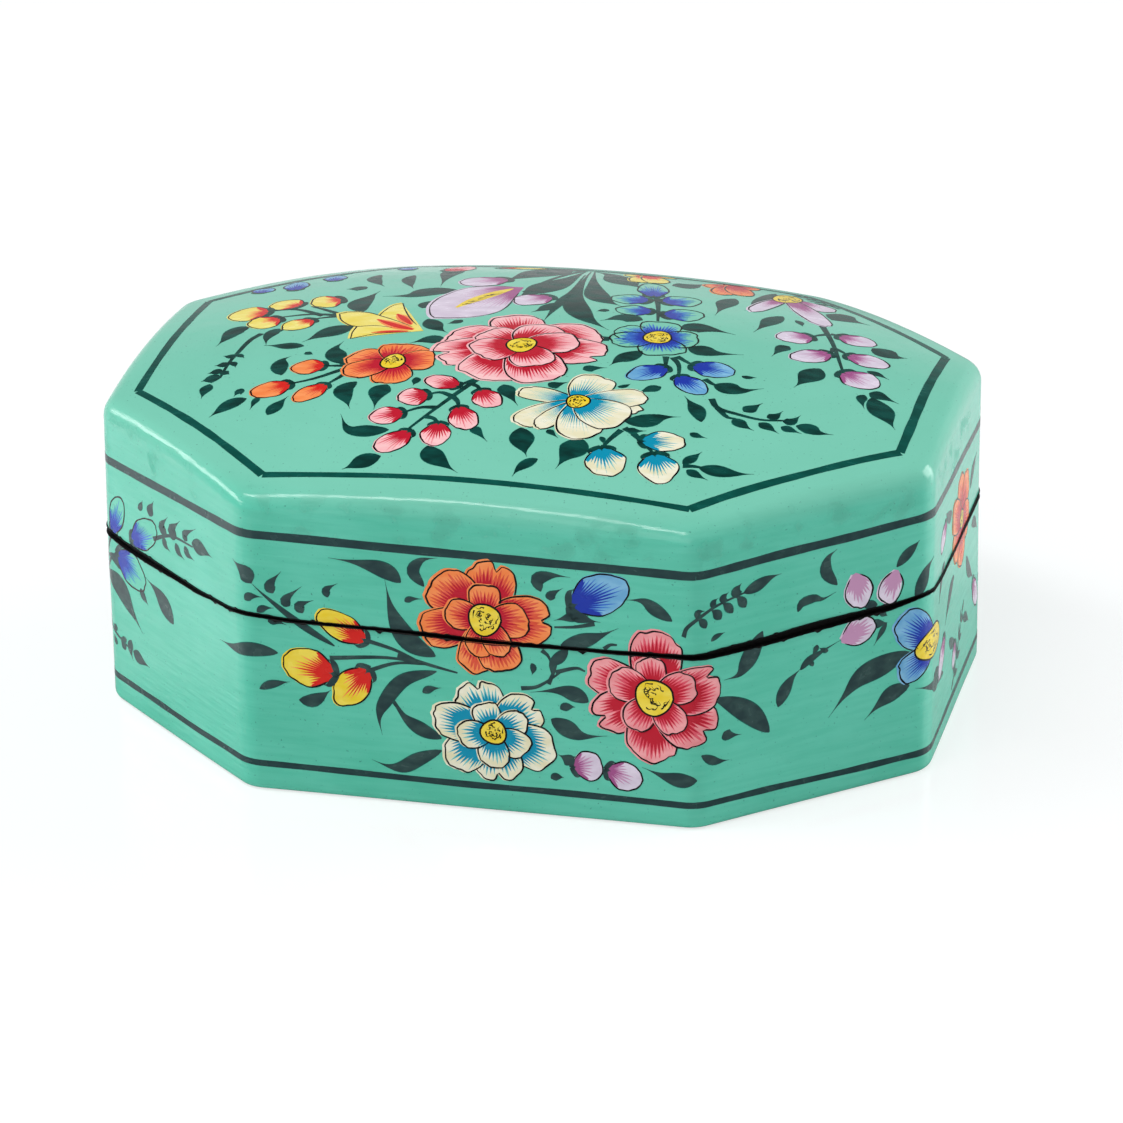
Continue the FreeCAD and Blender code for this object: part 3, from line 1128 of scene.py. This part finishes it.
WALL_STEMS = (
    ((366, 640), (396, 650), (425, 664)), ((330, 658), (387, 657.5), (425, 664)),
    ((365, 672), (396, 663), (425, 664)), ((398, 655), (435, 666), (458, 672.5)),
    ((555, 672), (575, 667.9), (584.5, 671.2)), ((548, 684), (553, 672), (558, 655)),
    ((521, 688), (535, 687), (546.5, 681.4), (560, 672)), ((541, 650), (547, 655), (550, 661)),
    ((603.3, 648.8), (609.4, 644.7), (616.5, 644.7)), ((594, 623.5), (575, 626.5), (553.5, 626.8)),
    ((391.5, 698.6), (402, 712), (414, 722)), ((153, 538.7), (170.5, 536), (192, 547)),
    ((104, 569), (113, 556), (124, 551)), ((113, 531), (108, 545), (104, 560)),
    ((683.4, 637), (688, 627), (706, 613), (722, 603), (744, 593)),
    ((102, 606), (108, 620), (120, 637), (132, 650)),
)
WALL_LEAVES = (
    ((335, 646), (311, 631), (290, 616), (263, 594), (248, 580), 6),
    ((251, 583), (242, 572), (232, 558), 14), ((243, 600), (250, 596), (263, 597), 8),
    ((257, 611.5), (264, 608), (274, 608), 6.5), ((268, 621), (276, 621), (287, 625), 7),
    ((273, 593), (270, 584), (281, 571), 12), ((290, 606), (286, 599), (302, 586), 11),
    ((303, 613), (300, 605), (314, 600), 11), ((328, 597), (327, 589), (338, 583), 8),
    ((401, 582), (386, 570.5), (362, 563), (328, 557), 17),
    ((424, 586), (413, 571), (421, 560), (437, 557.5), 13),
    ((405, 601), (411, 598.5), (422, 598.5), 5),
    ((436, 656), (409, 640), (393, 612), (385, 579), 22),
    ((437, 671), (404, 680), (384, 703), (379, 718), (382, 735), 16),
    ((442, 738), (422, 729), (405, 717), (390, 699), 14),
    ((423, 692), (431, 688.5), (442, 687.5), 7),
    ((442, 750), (420, 758), (403, 766), (388, 765.5), (371, 759), 15),
    ((278, 653), (252, 649.5), (234, 647), (220, 639), 15), ((260, 689), (290, 682), 8),
    ((299, 700), (331, 690), 14), ((540, 591), (537, 579), (551, 575), (570, 577), 14),
    ((549.5, 600), (551, 594), (562, 588), 10),
    ((570, 600), (574, 612), (585, 619), (600, 622), 17), ((582, 615), (568, 617), (553, 620), 10),
    ((560, 645), (580, 641), (598, 636), (618, 628), 16),
    ((567, 649), (559, 657), (551, 665), (552, 679), 12),
    ((672, 621), (656, 610), (643, 601), (625, 599.5), 13), ((531, 663), (531.5, 675), 5),
    ((588, 702), (575, 694.5), (558, 690.5), (530, 692), 16),
    ((551, 719), (566, 728), (582, 736), (607, 736), 18), ((560, 709), (575, 707), 8),
    ((573, 764), (567, 759), (558, 754.5), 12), ((551, 778), (564, 777.5), 7),
    ((698, 781.5), (682, 780.5), (664, 776), (642, 767), 15),
    ((702, 756), (716, 761), (730, 759.5), 9), ((724, 732), (729, 735), (742, 734), 12),
    ((770, 732), (750, 713), (724, 701), (702, 698.5), 25),
    ((778.5, 707), (784, 693), (792, 679), (802, 668), 12),
    ((801, 670), (809, 661), (822, 652), (842, 640), 6), ((814, 666), (807, 660), 4),
    ((829, 651), (820, 648), 4), ((818, 645), (813, 655), 4),
    ((763, 631), (754, 649), (746, 664), (738, 675), (724, 680), 17), ((711, 641), (725, 632), 3.5),
    ((744, 593), (757, 586), (770, 578), (782, 573.5), 11), ((706, 628), (702, 622), (696, 618), 8),
    ((721, 619), (716, 613), (710, 609), 10), ((733, 612.5), (727, 606), (721, 602), 9),
    ((746, 607), (741, 600), (735, 594), 10), ((697, 620), (699, 613), (705, 611), 5),
    ((712, 608), (714, 602), (718, 598), 5), ((723, 603), (724, 597), (729, 592), 6.5),
    ((737, 598), (737, 590), (742, 583), 10),
    ((798.5, 612), (803, 603), (815, 598.5), (824, 599), (837, 592), 8),
    ((838, 585), (827, 572), (829, 558), (838, 549), 12),
    ((897, 567), (906, 556), (915, 546), (920, 540), 9),
    ((916, 599), (923, 583), (930, 568), (934, 556), 13), ((878, 605), (868, 605), (859, 606), 9),
    ((869, 597), (865, 601), (861, 607), 6), ((897, 597), (890, 603), (881, 606), 10),
    ((872, 621), (888, 622.5), 9), ((880, 614), (888, 616), 5),
    ((887, 623), (881, 634), (874.5, 646), 4),
    ((910, 652), (886, 664), (862, 677), (846, 695), (829, 718), 21),
    ((910, 685), (893, 693), (880, 704), (865, 720), 15), ((943, 672), (933, 685), (916, 688), 9),
    ((137.6, 508), (142, 500.5), 5), ((149, 516), (150, 509), (153, 501), 8),
    ((106, 570), (121, 587), (132, 610), (144, 634), 14),
    ((174, 624), (166, 607), (157, 591), (146, 577), 12), ((141, 588), (149, 605), 4),
    ((191, 543), (201, 549), (212, 558), 13), ((166, 534), (161, 526), (167, 517), 7),
    ((176, 538), (171, 530), (179, 521), 10), ((186.5, 541), (184, 534), (195, 529), 8),
    ((163, 537), (165, 545), (170, 552), 4), ((175, 543), (178, 552), (184, 560), 4.5),
    ((184, 546), (187, 554), (194, 561), 5), ((122, 568), (114, 557), (103, 552), 7),
    ((134, 651), (141, 659), (151, 668), 9), ((127, 639), (121, 637), 5),
    ((126, 650), (121, 639), 4), ((132, 640), (131, 649), (134, 661), 5),
    ((118, 628), (113, 623), 4), ((118, 644), (113, 633), 3), ((933, 690), (941, 668), 8),
)
TURNED_BUDS = (
    ((855, 574), (864, 606, 29)), ((897, 570), (887, 603, 22)), ((842, 641), (875, 623, 25)),
)
WALL_SPRIGS = (
    (((951, 690), (957, 650), (962, 610)), 4, 3.4),
)
END_FLOWER = {
    "centre": (157, 36), "disc": (1.7, 1.8),
    "outer": (
        (156, 44.5, 6.6), (163.6, 42, 6.6), (164.6, 33, 7), (157.5, 27, 7), (149.5, 31.5, 7),
        (148.4, 40, 6.6),
    ),
}
END_LEAVES = (
    ((147, 41.5), (140.5, 44), 2.4), ((166, 38), (172.5, 42.5), 2.4), ((150, 28), (141.5, 22), 2.8),
    ((163, 26), (170, 19), 2.8), ((140, 35), (135, 29), 2), ((168, 30), (174, 27), 2.2),
    ((146, 17), (153, 14), 2.2), ((160, 15), (166, 12), 2),
)
END_BUDS = (
    ((141, 20), (136, 14), 4.2, LILAC), ((170, 18), (174.5, 12), 4.2, LILAC),
    ((141, 42), (136, 38.5), 3.6, LILAC), ((152, 14), (150, 9.5), 3.4, LILAC),
)

for ground, trade in ((near_walls, (ORANGE, PINK)), (far_walls, (PINK, ORANGE))):
    flowers = (LEFT_ROSE, RIGHT_ROSE, WHITE_ROSE, CORNER_FLOWER)
    for flower, paints in zip(flowers, (*trade, WHITE, BLUE)):
        rose(ground, flower, paints)
    for base, tip, width, paints in WALL_BUDS:
        bud(ground, base, tip, width, paints)
    for base, mark in TURNED_BUDS:
        petal(ground, base, mark, DUSKY, 4, belly=0.5, root=0.14, blunt=0.9)
    for pixels in WALL_STEMS:
        stem("leaf_of_walls", ground, pixels)
    for *pixels, width in WALL_LEAVES:
        leaf(ground, pixels, width)
    for pixels, pairs, size in WALL_SPRIGS:
        sprig("leaf_of_walls", ground, pixels, pairs, size)
    end_wall = Ground("walls", lambda way, height: Vector((way, height)), ground.turned)
    rose(end_wall, END_FLOWER, trade[0])
    for *places, width in END_LEAVES:
        leaf(end_wall, places, width)
    for base, tip, width, paints in END_BUDS:
        bud(end_wall, base, tip, width, paints)

# The bouquet on the lid: all its stems and leaves spring from one point at the back of the dome and
# spread towards the front, round a double rose in the middle.

bouquet = Ground("dome", on_dome)
LID_ROSE = {
    "centre": (520.7, 345.6), "disc": (15, 7),
    "outer": (
        (515, 315.2, 54), (596.5, 331.8, 28), (450.7, 333, 28), (602.2, 354.8, 26, 593.6, 357.6),
        (436.3, 355.8, 26, 441, 353.6), (479.4, 380.5, 50), (543.7, 382, 54),
    ),
    "inner": (
        (485.1, 331.8, 24), (548.3, 327.2, 30), (577.2, 342.1, 20), (539.1, 366.5, 36),
        (472.2, 352.5, 22),
    ),
}
LID_ORANGE = {
    "centre": (392.4, 362.1), "disc": (12, 7),
    "outer": (
        (351, 355.5, 20), (412, 345.5, 36), (435, 360, 19), (390, 384, 40), (345.5, 373.5, 17),
    ),
}
LID_BLUE = {
    "centre": (656.7, 338.3), "disc": (14, 6),
    "outer": (
        (614.6, 330.4, 15), (661.2, 322.6, 40), (697, 341.6, 16), (663, 356.5, 46), (611.5, 341.5, 15),
    ),
}
LID_WHITE = {
    "centre": (578.7, 401.9), "disc": (12, 6.5),
    "outer": (
        (520, 391, 14), (601, 376.5, 36), (640, 410, 12), (647, 397.5, 18), (516.5, 425, 22),
        (538, 428, 17), (584, 439, 48), (623, 423, 34),
    ),
}
LID_LILAC = {
    "centre": (787.4, 299.4), "disc": (11, 3.5),
    "outer": ((832, 312.5, 7), (752.5, 311.5, 10), (825, 327, 14)),
}
BACK_ORANGE = {
    "centre": (733, 285), "disc": (9, 2.4),
    "outer": ((708, 287.5, 7), (758, 290.5, 7), (722, 295.5, 22), (745, 296.5, 22), (733, 279, 20)),
}
BACK_YELLOW = {
    "centre": (650, 272.5), "disc": (8, 2),
    "outer": ((626, 275.5, 6), (676, 279, 6), (640, 282.5, 20), (662, 284, 20), (652, 268.5, 18)),
}
LID_BUDS = (
    ((268.8, 311.8), (228.5, 315.6), 12.6, LEMON_RED), ((300, 305.5), (273.5, 303.2), 12, LEMON_RED),
    ((341, 299), (312, 303.8), 12, LEMON_RED), ((279.5, 318), (250.2, 326), 13, LEMON_RED),
    ((312.4, 319.5), (284.6, 329), 12, LEMON_RED), ((324, 366), (292, 368), 14, EMBER),
    ((289, 384), (251, 395), 16, EMBER), ((325, 385), (294, 401), 15, EMBER),
    ((457, 387), (426, 378.5), 15, SHELL_PINK), ((427, 395), (398, 400), 17, SHELL_PINK),
    ((402, 413), (369, 419), 17, SHELL_PINK), ((408, 432), (376, 452), 20, SHELL_PINK),
    ((438, 424), (432, 447), 30, SHELL_PINK), ((458, 408), (468, 430), 28, SHELL_PINK),
    ((480, 391), (494, 408), 26, SHELL_PINK), ((602, 449), (611, 476), 40, WHITE),
    ((643, 441.5), (685, 441.5), 20, WHITE), ((655, 455), (663, 483), 40, WHITE),
    ((654, 297), (653.5, 284), 32, BLUE_LINES), ((648, 302), (613, 297.5), 10, BLUE_LINES),
    ((664, 303), (700, 301), 11, BLUE_LINES), ((651, 312.5), (615, 310), 10, BLUE_LINES),
    ((664, 316.2), (704, 315.7), 12, BLUE_LINES), ((665, 368), (629, 378.5), 17, BLUE),
    ((678, 377), (702, 394), 20, BLUE), ((693, 366), (732, 374.5), 16, BLUE),
    ((811, 337.5), (779, 339), 13, LILAC), ((840, 337), (876, 347), 11, LILAC),
    ((829, 354), (793, 360), 15, LILAC), ((848, 356.5), (888.5, 367), 12, LILAC),
    ((843, 373), (877, 387.5), 19, LILAC), ((550.5, 297), (514.5, 303), 12, LILAC),
    ((507, 279), (459.5, 284), 9.5, LILAC), ((295, 290), (296, 282), 26, BLUE),
    ((334, 281), (333, 274.5), 24, BLUE), ((258, 293), (266, 286), 20, BLUE),
    ((408, 270), (406, 264), 22, BLUE), ((448, 271), (476, 262), 10, SHELL_PINK),
    ((500, 268), (552, 264), 7, LEMON_RED),
)
LID_STEMS = (
    ((323, 315.3), (296, 309), (268, 311)), ((339, 315), (310, 314), (279, 317)),
    ((341, 316), (328, 317), (312, 319)), ((352, 318), (327, 310), (312, 306)),
    ((356, 366), (338, 366), (324, 366)), ((347, 368), (316, 378), (289, 384)),
    ((350, 370), (338, 378), (325, 385)), ((478, 379), (442, 404), (404, 432)),
    ((478, 379), (466, 383), (457, 387)), ((452, 397), (440, 393), (427, 395)),
    ((436, 408), (420, 408), (402, 413)), ((425, 417), (433, 419), (438, 424)),
    ((452, 397), (457, 402), (458, 408)), ((470, 384), (477, 387), (480, 391)),
    ((625, 428), (634, 434), (643, 441)), ((622, 430), (610, 440), (602, 449)),
    ((634, 434), (645, 444), (655, 455)), ((656.7, 297), (658, 308), (657, 322)),
    ((665, 357), (665, 362), (665, 368)), ((672, 358), (678, 366), (678, 377)),
    ((676, 357), (685, 362), (693, 366)), ((822, 326), (833, 345), (843, 373)),
    ((831, 335), (820, 336), (811, 337.5)), ((831, 335), (836, 336), (840, 337)),
    ((834, 349), (832, 352), (829, 354)), ((834, 349), (841, 352), (848, 356)),
    ((262, 333), (250, 340), (238, 352), (229, 362), (219, 378)),
    ((586, 269), (550, 280), (523, 292)),
    ((711, 399), (717, 408), (735, 414), (760, 420), (785, 421)),
    ((717, 408), (726, 417), (735, 419)), ((704, 379.5), (711, 384), (718, 387)),
    ((683, 466), (693, 466.5), (703, 468)),
)
LID_LEAVES = (
    ((250, 326.5), (237, 330), (226, 338), (216, 346), 10),
    ((284, 329), (274, 331.5), (267, 338), (266, 345), 9),
    ((355, 327), (336, 330.5), (318, 336), (302, 342), 11),
    ((304, 346), (284, 345.5), (264, 345), 6), ((316, 270.5), (327, 268), (339, 265.5), 12),
    ((366, 288.5), (346, 289), 4), ((362, 312), (359, 304), (369, 297), (380, 290.5), 18),
    ((380, 275), (384, 286), 14), ((414, 275), (413, 288), 13),
    ((459, 290.5), (432, 291), (410, 295), (382, 296), 8),
    ((342, 364), (336, 356), (335, 349), (344, 341.5), 21), ((337, 362), (351, 366.5), 5),
    ((281, 375), (279, 367), (282, 360), (291, 356), 15), ((306, 352), (313, 354.5), 3.5),
    ((237, 355), (223, 355.5), 3.5), ((236, 354), (244, 357.5), 3.5),
    ((229, 362), (214, 365.5), 4.5), ((229, 362), (235, 367), 5), ((222, 371), (207, 373.5), 5),
    ((222, 371), (229, 374), 6), ((219, 378.5), (200, 381.5), 8),
    ((209, 384), (204, 391), (200, 399), 10),
    ((246, 398.5), (232, 403), (218, 411), (208, 417.5), 10),
    ((244, 391), (238, 392), (233, 396.5), 6), ((258, 397), (254, 402), (249, 410), 5),
    ((267, 415), (277, 405), (288, 396), 10), ((356, 382), (343, 390), (346, 400), (349, 409), 19),
    ((386, 385), (377, 394), (373, 410), 20), ((415, 378), (412, 386), 7),
    ((388, 430), (366, 431), (347, 428.5), (340, 414), 13),
    ((380, 456), (365, 460), (352, 465), (341, 469), 14),
    ((427, 446), (431, 455), (443, 464), (457, 473), 20), ((472, 427), (477, 432), (487, 442), 9),
    ((422, 308), (429, 303), (438, 299), 9), ((428, 319), (435, 327), (447, 333), 14),
    ((445, 339.5), (428, 340), (409, 343.5), 8), ((462, 320), (447, 324), 3.5),
    ((462, 269), (449, 274), (440, 286), 13), ((559, 303), (545, 309), (531, 312.5), 7),
    ((599, 341), (610, 337.5), 7), ((609, 311.5), (596, 312), 2.5),
    ((642, 321), (622, 318.5), (599, 321.5), 8), ((583, 370), (592, 368.5), (607, 368), 6),
    ((641, 351.5), (628, 357), (617, 361), (609, 366), 12),
    ((503, 385), (508, 393), (518, 406), 16), ((549, 387), (556, 385), (570, 382), 7),
    ((521, 428), (522, 438), (524, 448), (527, 457), 26), ((548, 430), (552, 433), (559, 438.5), 5),
    ((581, 438), (575, 448), (566, 457), (556, 469), 26),
    ((538, 459), (528, 463), (518, 469.5), (512, 476.5), 9), ((601, 437), (604, 444), 4),
    ((681, 330), (695, 328.5), (712, 330.5), (735, 335.5), 9.5),
    ((687, 349), (700, 351), (716, 354), (743, 355.5), 10),
    ((673, 286), (690, 286), (706, 284.5), 6), ((735, 299), (728, 303), (722, 308), (715, 316), 16),
    ((713, 385), (727, 388.5), (742, 391), (763, 389), 11),
    ((661, 387), (650, 389.5), (637, 393.5), 7), ((618, 387), (631, 384), 2.5),
    ((701, 422), (697, 411), (691, 404), (684, 396), 14),
    ((625, 421.5), (645, 421), (662, 417.5), (681, 417), 13),
    ((627, 429), (635, 431), (647, 431), 5), ((743, 412), (751, 408.5), (762, 403.5), 9),
    ((733, 418.5), (741, 425), (753, 431), 9), ((766, 418), (774, 416.5), (782, 411.5), 7.5),
    ((782, 422), (791, 421.5), (800, 415.5), 8), ((758, 423), (767, 427.5), (778, 434), 7.5),
    ((780, 427), (789, 430), (801, 434), 6), ((795, 426), (808, 429), (818, 433), (833, 435), 10),
    ((690, 433), (697, 436), (707, 438.5), 4.5), ((683, 464), (693, 458), (702, 452), 8),
    ((699, 468), (716, 471), (735, 474), (754, 474.5), 11),
    ((687, 470), (696, 475), (708, 480.5), 7), ((775, 294), (765, 301), (756, 307), (745, 311), 13),
    ((783, 317), (773, 321), (764, 326), (753, 333), 12),
    ((826, 315), (840, 318), (852, 321.5), (870, 326), 9),
    ((872, 349), (884, 353.5), (896, 357.5), (907, 359), 9),
    ((789, 347), (781, 349.5), (771, 357), 10),
    ((820, 369), (812, 375), (803, 381), (793, 388), 20), ((867, 371.5), (878, 375), (889, 380), 4),
    ((864, 395), (861, 400), (864, 409), 10), ((869, 393), (880, 396.5), (899, 404), 9),
    ((871, 398), (880, 410), (888, 420), (895, 430), 21), ((741, 376.5), (756, 378), 2.5),
    ((796, 321), (803, 327), 4),
)
ROOT_LEAVES = (
    ((588, 268.5), (560, 271), (502, 281), 9), ((589, 270), (570, 279), (545, 288), (514, 299), 16),
    ((586, 275), (573, 291), (560, 303), (542, 323), 8),
    ((592, 272), (581, 286), (574, 301), (583, 317), (608, 331), 26),
    ((597, 270), (594, 284), (599, 298), (621, 307), 21),
    ((598, 269), (612, 275), (624, 281.5), (642, 288.5), 13),
)
BACK_SPRIG = ((855, 305), (838, 297), (818, 290))

for flower, paints in (
    (BACK_YELLOW, LEMON_RED), (BACK_ORANGE, ORANGE), (LID_LILAC, LILAC), (LID_BLUE, BLUE_LINES),
    (LID_WHITE, WHITE_STREAKED), (LID_ORANGE, ORANGE), (LID_ROSE, SHELL_PINK),
):
    rose(bouquet, flower, paints)
for base, tip, width, paints in LID_BUDS:
    bud(bouquet, base, tip, width, paints)
for pixels in LID_STEMS:
    stem("leaf_of_lid", bouquet, pixels, thick=1.25)
for *pixels, width in LID_LEAVES:
    leaf(bouquet, pixels, width)
for *pixels, width in ROOT_LEAVES:
    leaf(bouquet, pixels, width, belly=1.5)
sprig("leaf_of_lid", bouquet, BACK_SPRIG, 4, 2.6)

TRUMPET = (
    ((423, 331.3), (405, 332.5), (380, 333.8), (367.5, 335.6), (350.6, 339)),
    ((350.6, 339), (352.5, 332.5), (356.9, 326.9)),
    ((356.9, 326.9), (348.8, 325), (341.3, 320), (339.4, 313.8)),
    ((339.4, 313.8), (350, 311.9), (367.5, 312.5), (379.4, 315.6)),
    ((379.4, 315.6), (383.8, 311.3), (392.5, 305.6), (402.5, 303.1)),
    ((402.5, 303.1), (405, 310), (411.3, 320), (423, 331.3)),
)
TRUMPET_STREAKS = (
    ((411, 325), (404, 319), (397, 314), 1.3), ((413, 330), (396, 326), (377, 319.5), 1.5),
    ((408, 331.6), (390, 332), (371, 333), 0.8),
)
TRUMPET_FOLDS = (((379.4, 315.6), (396, 321), (412, 327)), ((356.9, 326.9), (375, 326), (392, 328)))
CALLA = (
    (
        (523.8, 287.5), (515, 297.5), (507.5, 306.3), (496.3, 312.5), (477.5, 316.5), (455, 318),
        (434, 318),
    ),
    ((434, 318), (430, 313.8), (429.8, 306.5), (433.8, 301.3)),
    ((433.8, 301.3), (442.5, 296), (466, 288), (492, 286), (523.8, 287.5)),
)
SPADIX = ((456, 307.5), (470, 301.5), (485, 296.5), (500, 292), (513, 288.8))

coloured(DrawnPetal(bouquet, TRUMPET), bouquet, GOLD, 4, (-0.2, 0.1))
for *pixels, wide in TRUMPET_STREAKS:
    line = [bouquet(*pixel) for pixel in pixels]
    for paint, more, layer in (("peach", 1.9, 5), ("scarlet", 1, 6)):
        def streak(share, wide=wide * more):
            return wide * math.sin(math.pi * (0.08 + 0.88 * share))

        stroke(paint, bouquet, line, streak, layer, 2)
for pixels in TRUMPET_FOLDS:
    stem("ink", bouquet, pixels, 8, 0.3)
coloured(DrawnPetal(bouquet, CALLA), bouquet, CALLA_LILAC, 4, (-0.2, 0.1))
spadix = [bouquet(*pixel) for pixel in SPADIX]
stroke("yellow", bouquet, spadix, lambda share: 2.7 * math.sin(math.pi * (0.06 + 0.88 * share)), 9, 2)
hand = random.Random(9)
for _ in range(16):
    share = hand.uniform(0.1, 0.8)
    fleck = along_line(spadix, share) + Vector((0, hand.uniform(-0.9, 0.9)))
    curl = [fleck, fleck + Vector((0.7, 0.5)), fleck + Vector((1.5, 0.7))]
    stroke("ink", bouquet, curl, lambda share: 0.2 * (1.2 - share), 10)

# Each paint lies as a thin film on the coats. On the walls it is parted along the cut, and what is
# above goes with the lid.

FILM_FOOT = -0.02
PAINTS = {
    "ink": (colour(16, 12, 16), None),
    "border": (colour(3, 74, 66), colour(6, 86, 77)),
    "stripe": (colour(38, 62, 64), colour(44, 72, 72)),
    "leaf_edge_of_walls": (colour(14, 84, 76), colour(30, 104, 92)),
    "leaf_of_walls": (colour(42, 64, 66), colour(56, 82, 80)),
    "leaf_edge_of_lid": (colour(0, 88, 78), colour(6, 108, 94)),
    "leaf_of_lid": (colour(0, 52, 48), colour(8, 76, 69)),
    "blush": (colour(236, 142, 148), colour(246, 166, 170)),
    "shell": (colour(248, 178, 184), colour(252, 200, 202)),
    "rose": (colour(224, 80, 100), colour(234, 102, 118)),
    "crimson": (colour(192, 28, 50), None),
    "peach": (colour(246, 132, 72), colour(252, 152, 92)),
    "vermilion": (colour(222, 82, 60), colour(230, 98, 72)),
    "scarlet": (colour(216, 38, 32), None),
    "yellow": (colour(238, 206, 48), colour(244, 220, 84)),
    "lemon": (colour(240, 220, 92), colour(246, 232, 132)),
    "cream": (colour(232, 226, 188), colour(243, 240, 218)),
    "aqua": (colour(108, 192, 196), None),
    "turquoise": (colour(4, 144, 178), None),
    "sky": (colour(104, 166, 212), colour(128, 186, 222)),
    "azure": (colour(66, 118, 206), None),
    "blue": (colour(34, 58, 168), None),
    "lilac": (colour(212, 198, 218), colour(226, 214, 232)),
    "orchid": (colour(196, 146, 184), None),
    "mauve": (colour(162, 84, 138), None),
}


def paint_finish(name, dark, light):
    finish = Finish("paint_" + name, dark, {"Specular IOR Level": 0.3})
    grain = finish.place.cloud(2.2, 2, (0.5, 1, 1)).between(0.32, 0.68)
    if light:
        finish.feed("Base Color", grain.blend(dark, light))
    finish.feed("Roughness", grain * 0.08 + 0.2)
    finish.emboss(lacquer_relief(finish.place), 0.16)
    return finish


def on_wall_skin(spot):
    return by_hand(Vector((*plan(spot.x, -spot.z), spot.y)))


def on_dome_skin(spot):
    return by_hand(Vector((spot.x, spot.y, dome(spot.x, spot.y) + spot.z)))


def film(net, skin):
    """Give the flat touches their thickness and lay them on the skin of the box."""
    bmesh.ops.remove_doubles(net, verts=net.verts, dist=WELD)
    made = bmesh.ops.extrude_face_region(net, geom=net.faces[:], use_keep_orig=True)
    for corner in made["geom"]:
        if isinstance(corner, bmesh.types.BMVert):
            corner.co.z = FILM_FOOT
    for knot in net.verts:
        knot.co = skin(knot.co)
    bmesh.ops.recalc_face_normals(net, faces=net.faces)
    return net


CORNER_SLICES = 12
SLICE_SNAP = 0.001


def crosses(face, begin, end):
    ways = [knot.co.x for knot in face.verts]
    return min(ways) < end and max(ways) > begin


def sliced(net):
    """Cut all touches at the same places where they bend round a corner, so that none dips under."""
    for number in range(-1, WALLS):
        corner = starts[number] - (GIRTH if number < 0 else 0)
        reach = reaches[number]
        bent = [face for face in net.faces if crosses(face, corner - reach, corner + reach)]
        sides = dict.fromkeys(side for face in bent for side in face.edges)
        knots = dict.fromkeys(knot for face in bent for knot in face.verts)
        pieces = [*bent, *sides, *knots]
        for step in range(CORNER_SLICES + 1):
            if pieces:
                place = corner + reach * (2 * step / CORNER_SLICES - 1)
                pieces = bmesh.ops.bisect_plane(
                    net, geom=pieces, plane_co=(place, 0, 0), plane_no=(1, 0, 0), dist=SLICE_SNAP,
                )["geom"]
    return net


def part(net, above):
    """A copy of the walls' touches with only what is above the cut, or only what is below it."""
    half = net.copy()
    for knot in half.verts:
        knot.co.y = (knot.co.y - cut(knot.co.x)) / reveal(knot.co.x)
    side = 1 if above else -1
    bmesh.ops.bisect_plane(
        half, geom=half.verts[:] + half.edges[:] + half.faces[:],
        plane_co=(0, side, 0), plane_no=(0, side, 0), clear_inner=True,
    )
    for knot in half.verts:
        knot.co.y = cut(knot.co.x) + knot.co.y * reveal(knot.co.x)
    return half


for paint, (dark, light) in PAINTS.items():
    finish = paint_finish(paint, dark, light)
    films = {"lid": [], "base": []}
    if (paint, "walls") in sheets:
        sliced(sheets[paint, "walls"])
        films["lid"].append(film(part(sheets[paint, "walls"], True), on_wall_skin))
        films["base"].append(film(part(sheets[paint, "walls"], False), on_wall_skin))
    if (paint, "dome") in sheets:
        films["lid"].append(film(sheets[paint, "dome"], on_dome_skin))
    for body, nets in films.items():
        whole = bmesh.new()
        for net in nets:
            mesh = bpy.data.meshes.new("touches")
            net.to_mesh(mesh)
            whole.from_mesh(mesh)
            bpy.data.meshes.remove(mesh)
            net.free()
        if whole.faces:
            put(piece_of(whole, f"{body}_paint_{paint}"), finish, body)

# The cut edges: the black of the rims runs over the green in an uneven line above and below the
# seam, brushed on by hand after the box was sawn open.

LIP_STEP = 0.45
LIP_LIFT = 0.21
LEAST_RUN = 0.07
MEAN_RUN = 0.19
DRIP_FROM = 0.22
DRIP_ABOVE = 0.5
DRIP_BELOW = 1.3
lip_stations = [GIRTH * step / round(GIRTH / LIP_STEP) for step in range(round(GIRTH / LIP_STEP))]


def run_over(way, above):
    """How far the black runs over the green there."""
    far = 7 if above else 31
    slow = noise.noise(Vector((way / 5.2, far, 0)))
    quick = noise.noise(Vector((way / 1.1, far, 4)))
    drip = max(0, noise.noise(Vector((way / 1.7, far, 9))) - DRIP_FROM)
    drip *= DRIP_ABOVE if above else DRIP_BELOW
    return max(LEAST_RUN, MEAN_RUN + 0.14 * slow + 0.13 * quick + drip)


for body, above in (("lid", True), ("base", False)):
    def from_rim(inset, beyond, share=0.0, above=above):
        """A ring of the black edge: how far beyond the coat's edge, and what share of the run."""
        def rise(way):
            back = reveal(way) - beyond + run_over(way, above) * share
            return cut(way) + (back if above else -back)
        return level(inset, rise)

    edge = mould(f"{body}_black_edge", (
        from_rim(COAT, 0.06), from_rim(0.1, 0.06), from_rim(-0.08, 0), from_rim(-LIP_LIFT, 0, 0.4),
        from_rim(-LIP_LIFT, 0, 0.8), from_rim(-0.1, 0, 1), from_rim(0.06, 0, 1),
        from_rim(EDGE_ROUND + 0.1, -0.15), from_rim(COAT, -0.15),
    ), closed_loop=True, around=lip_stations)
    put(edge, black_rim, body)
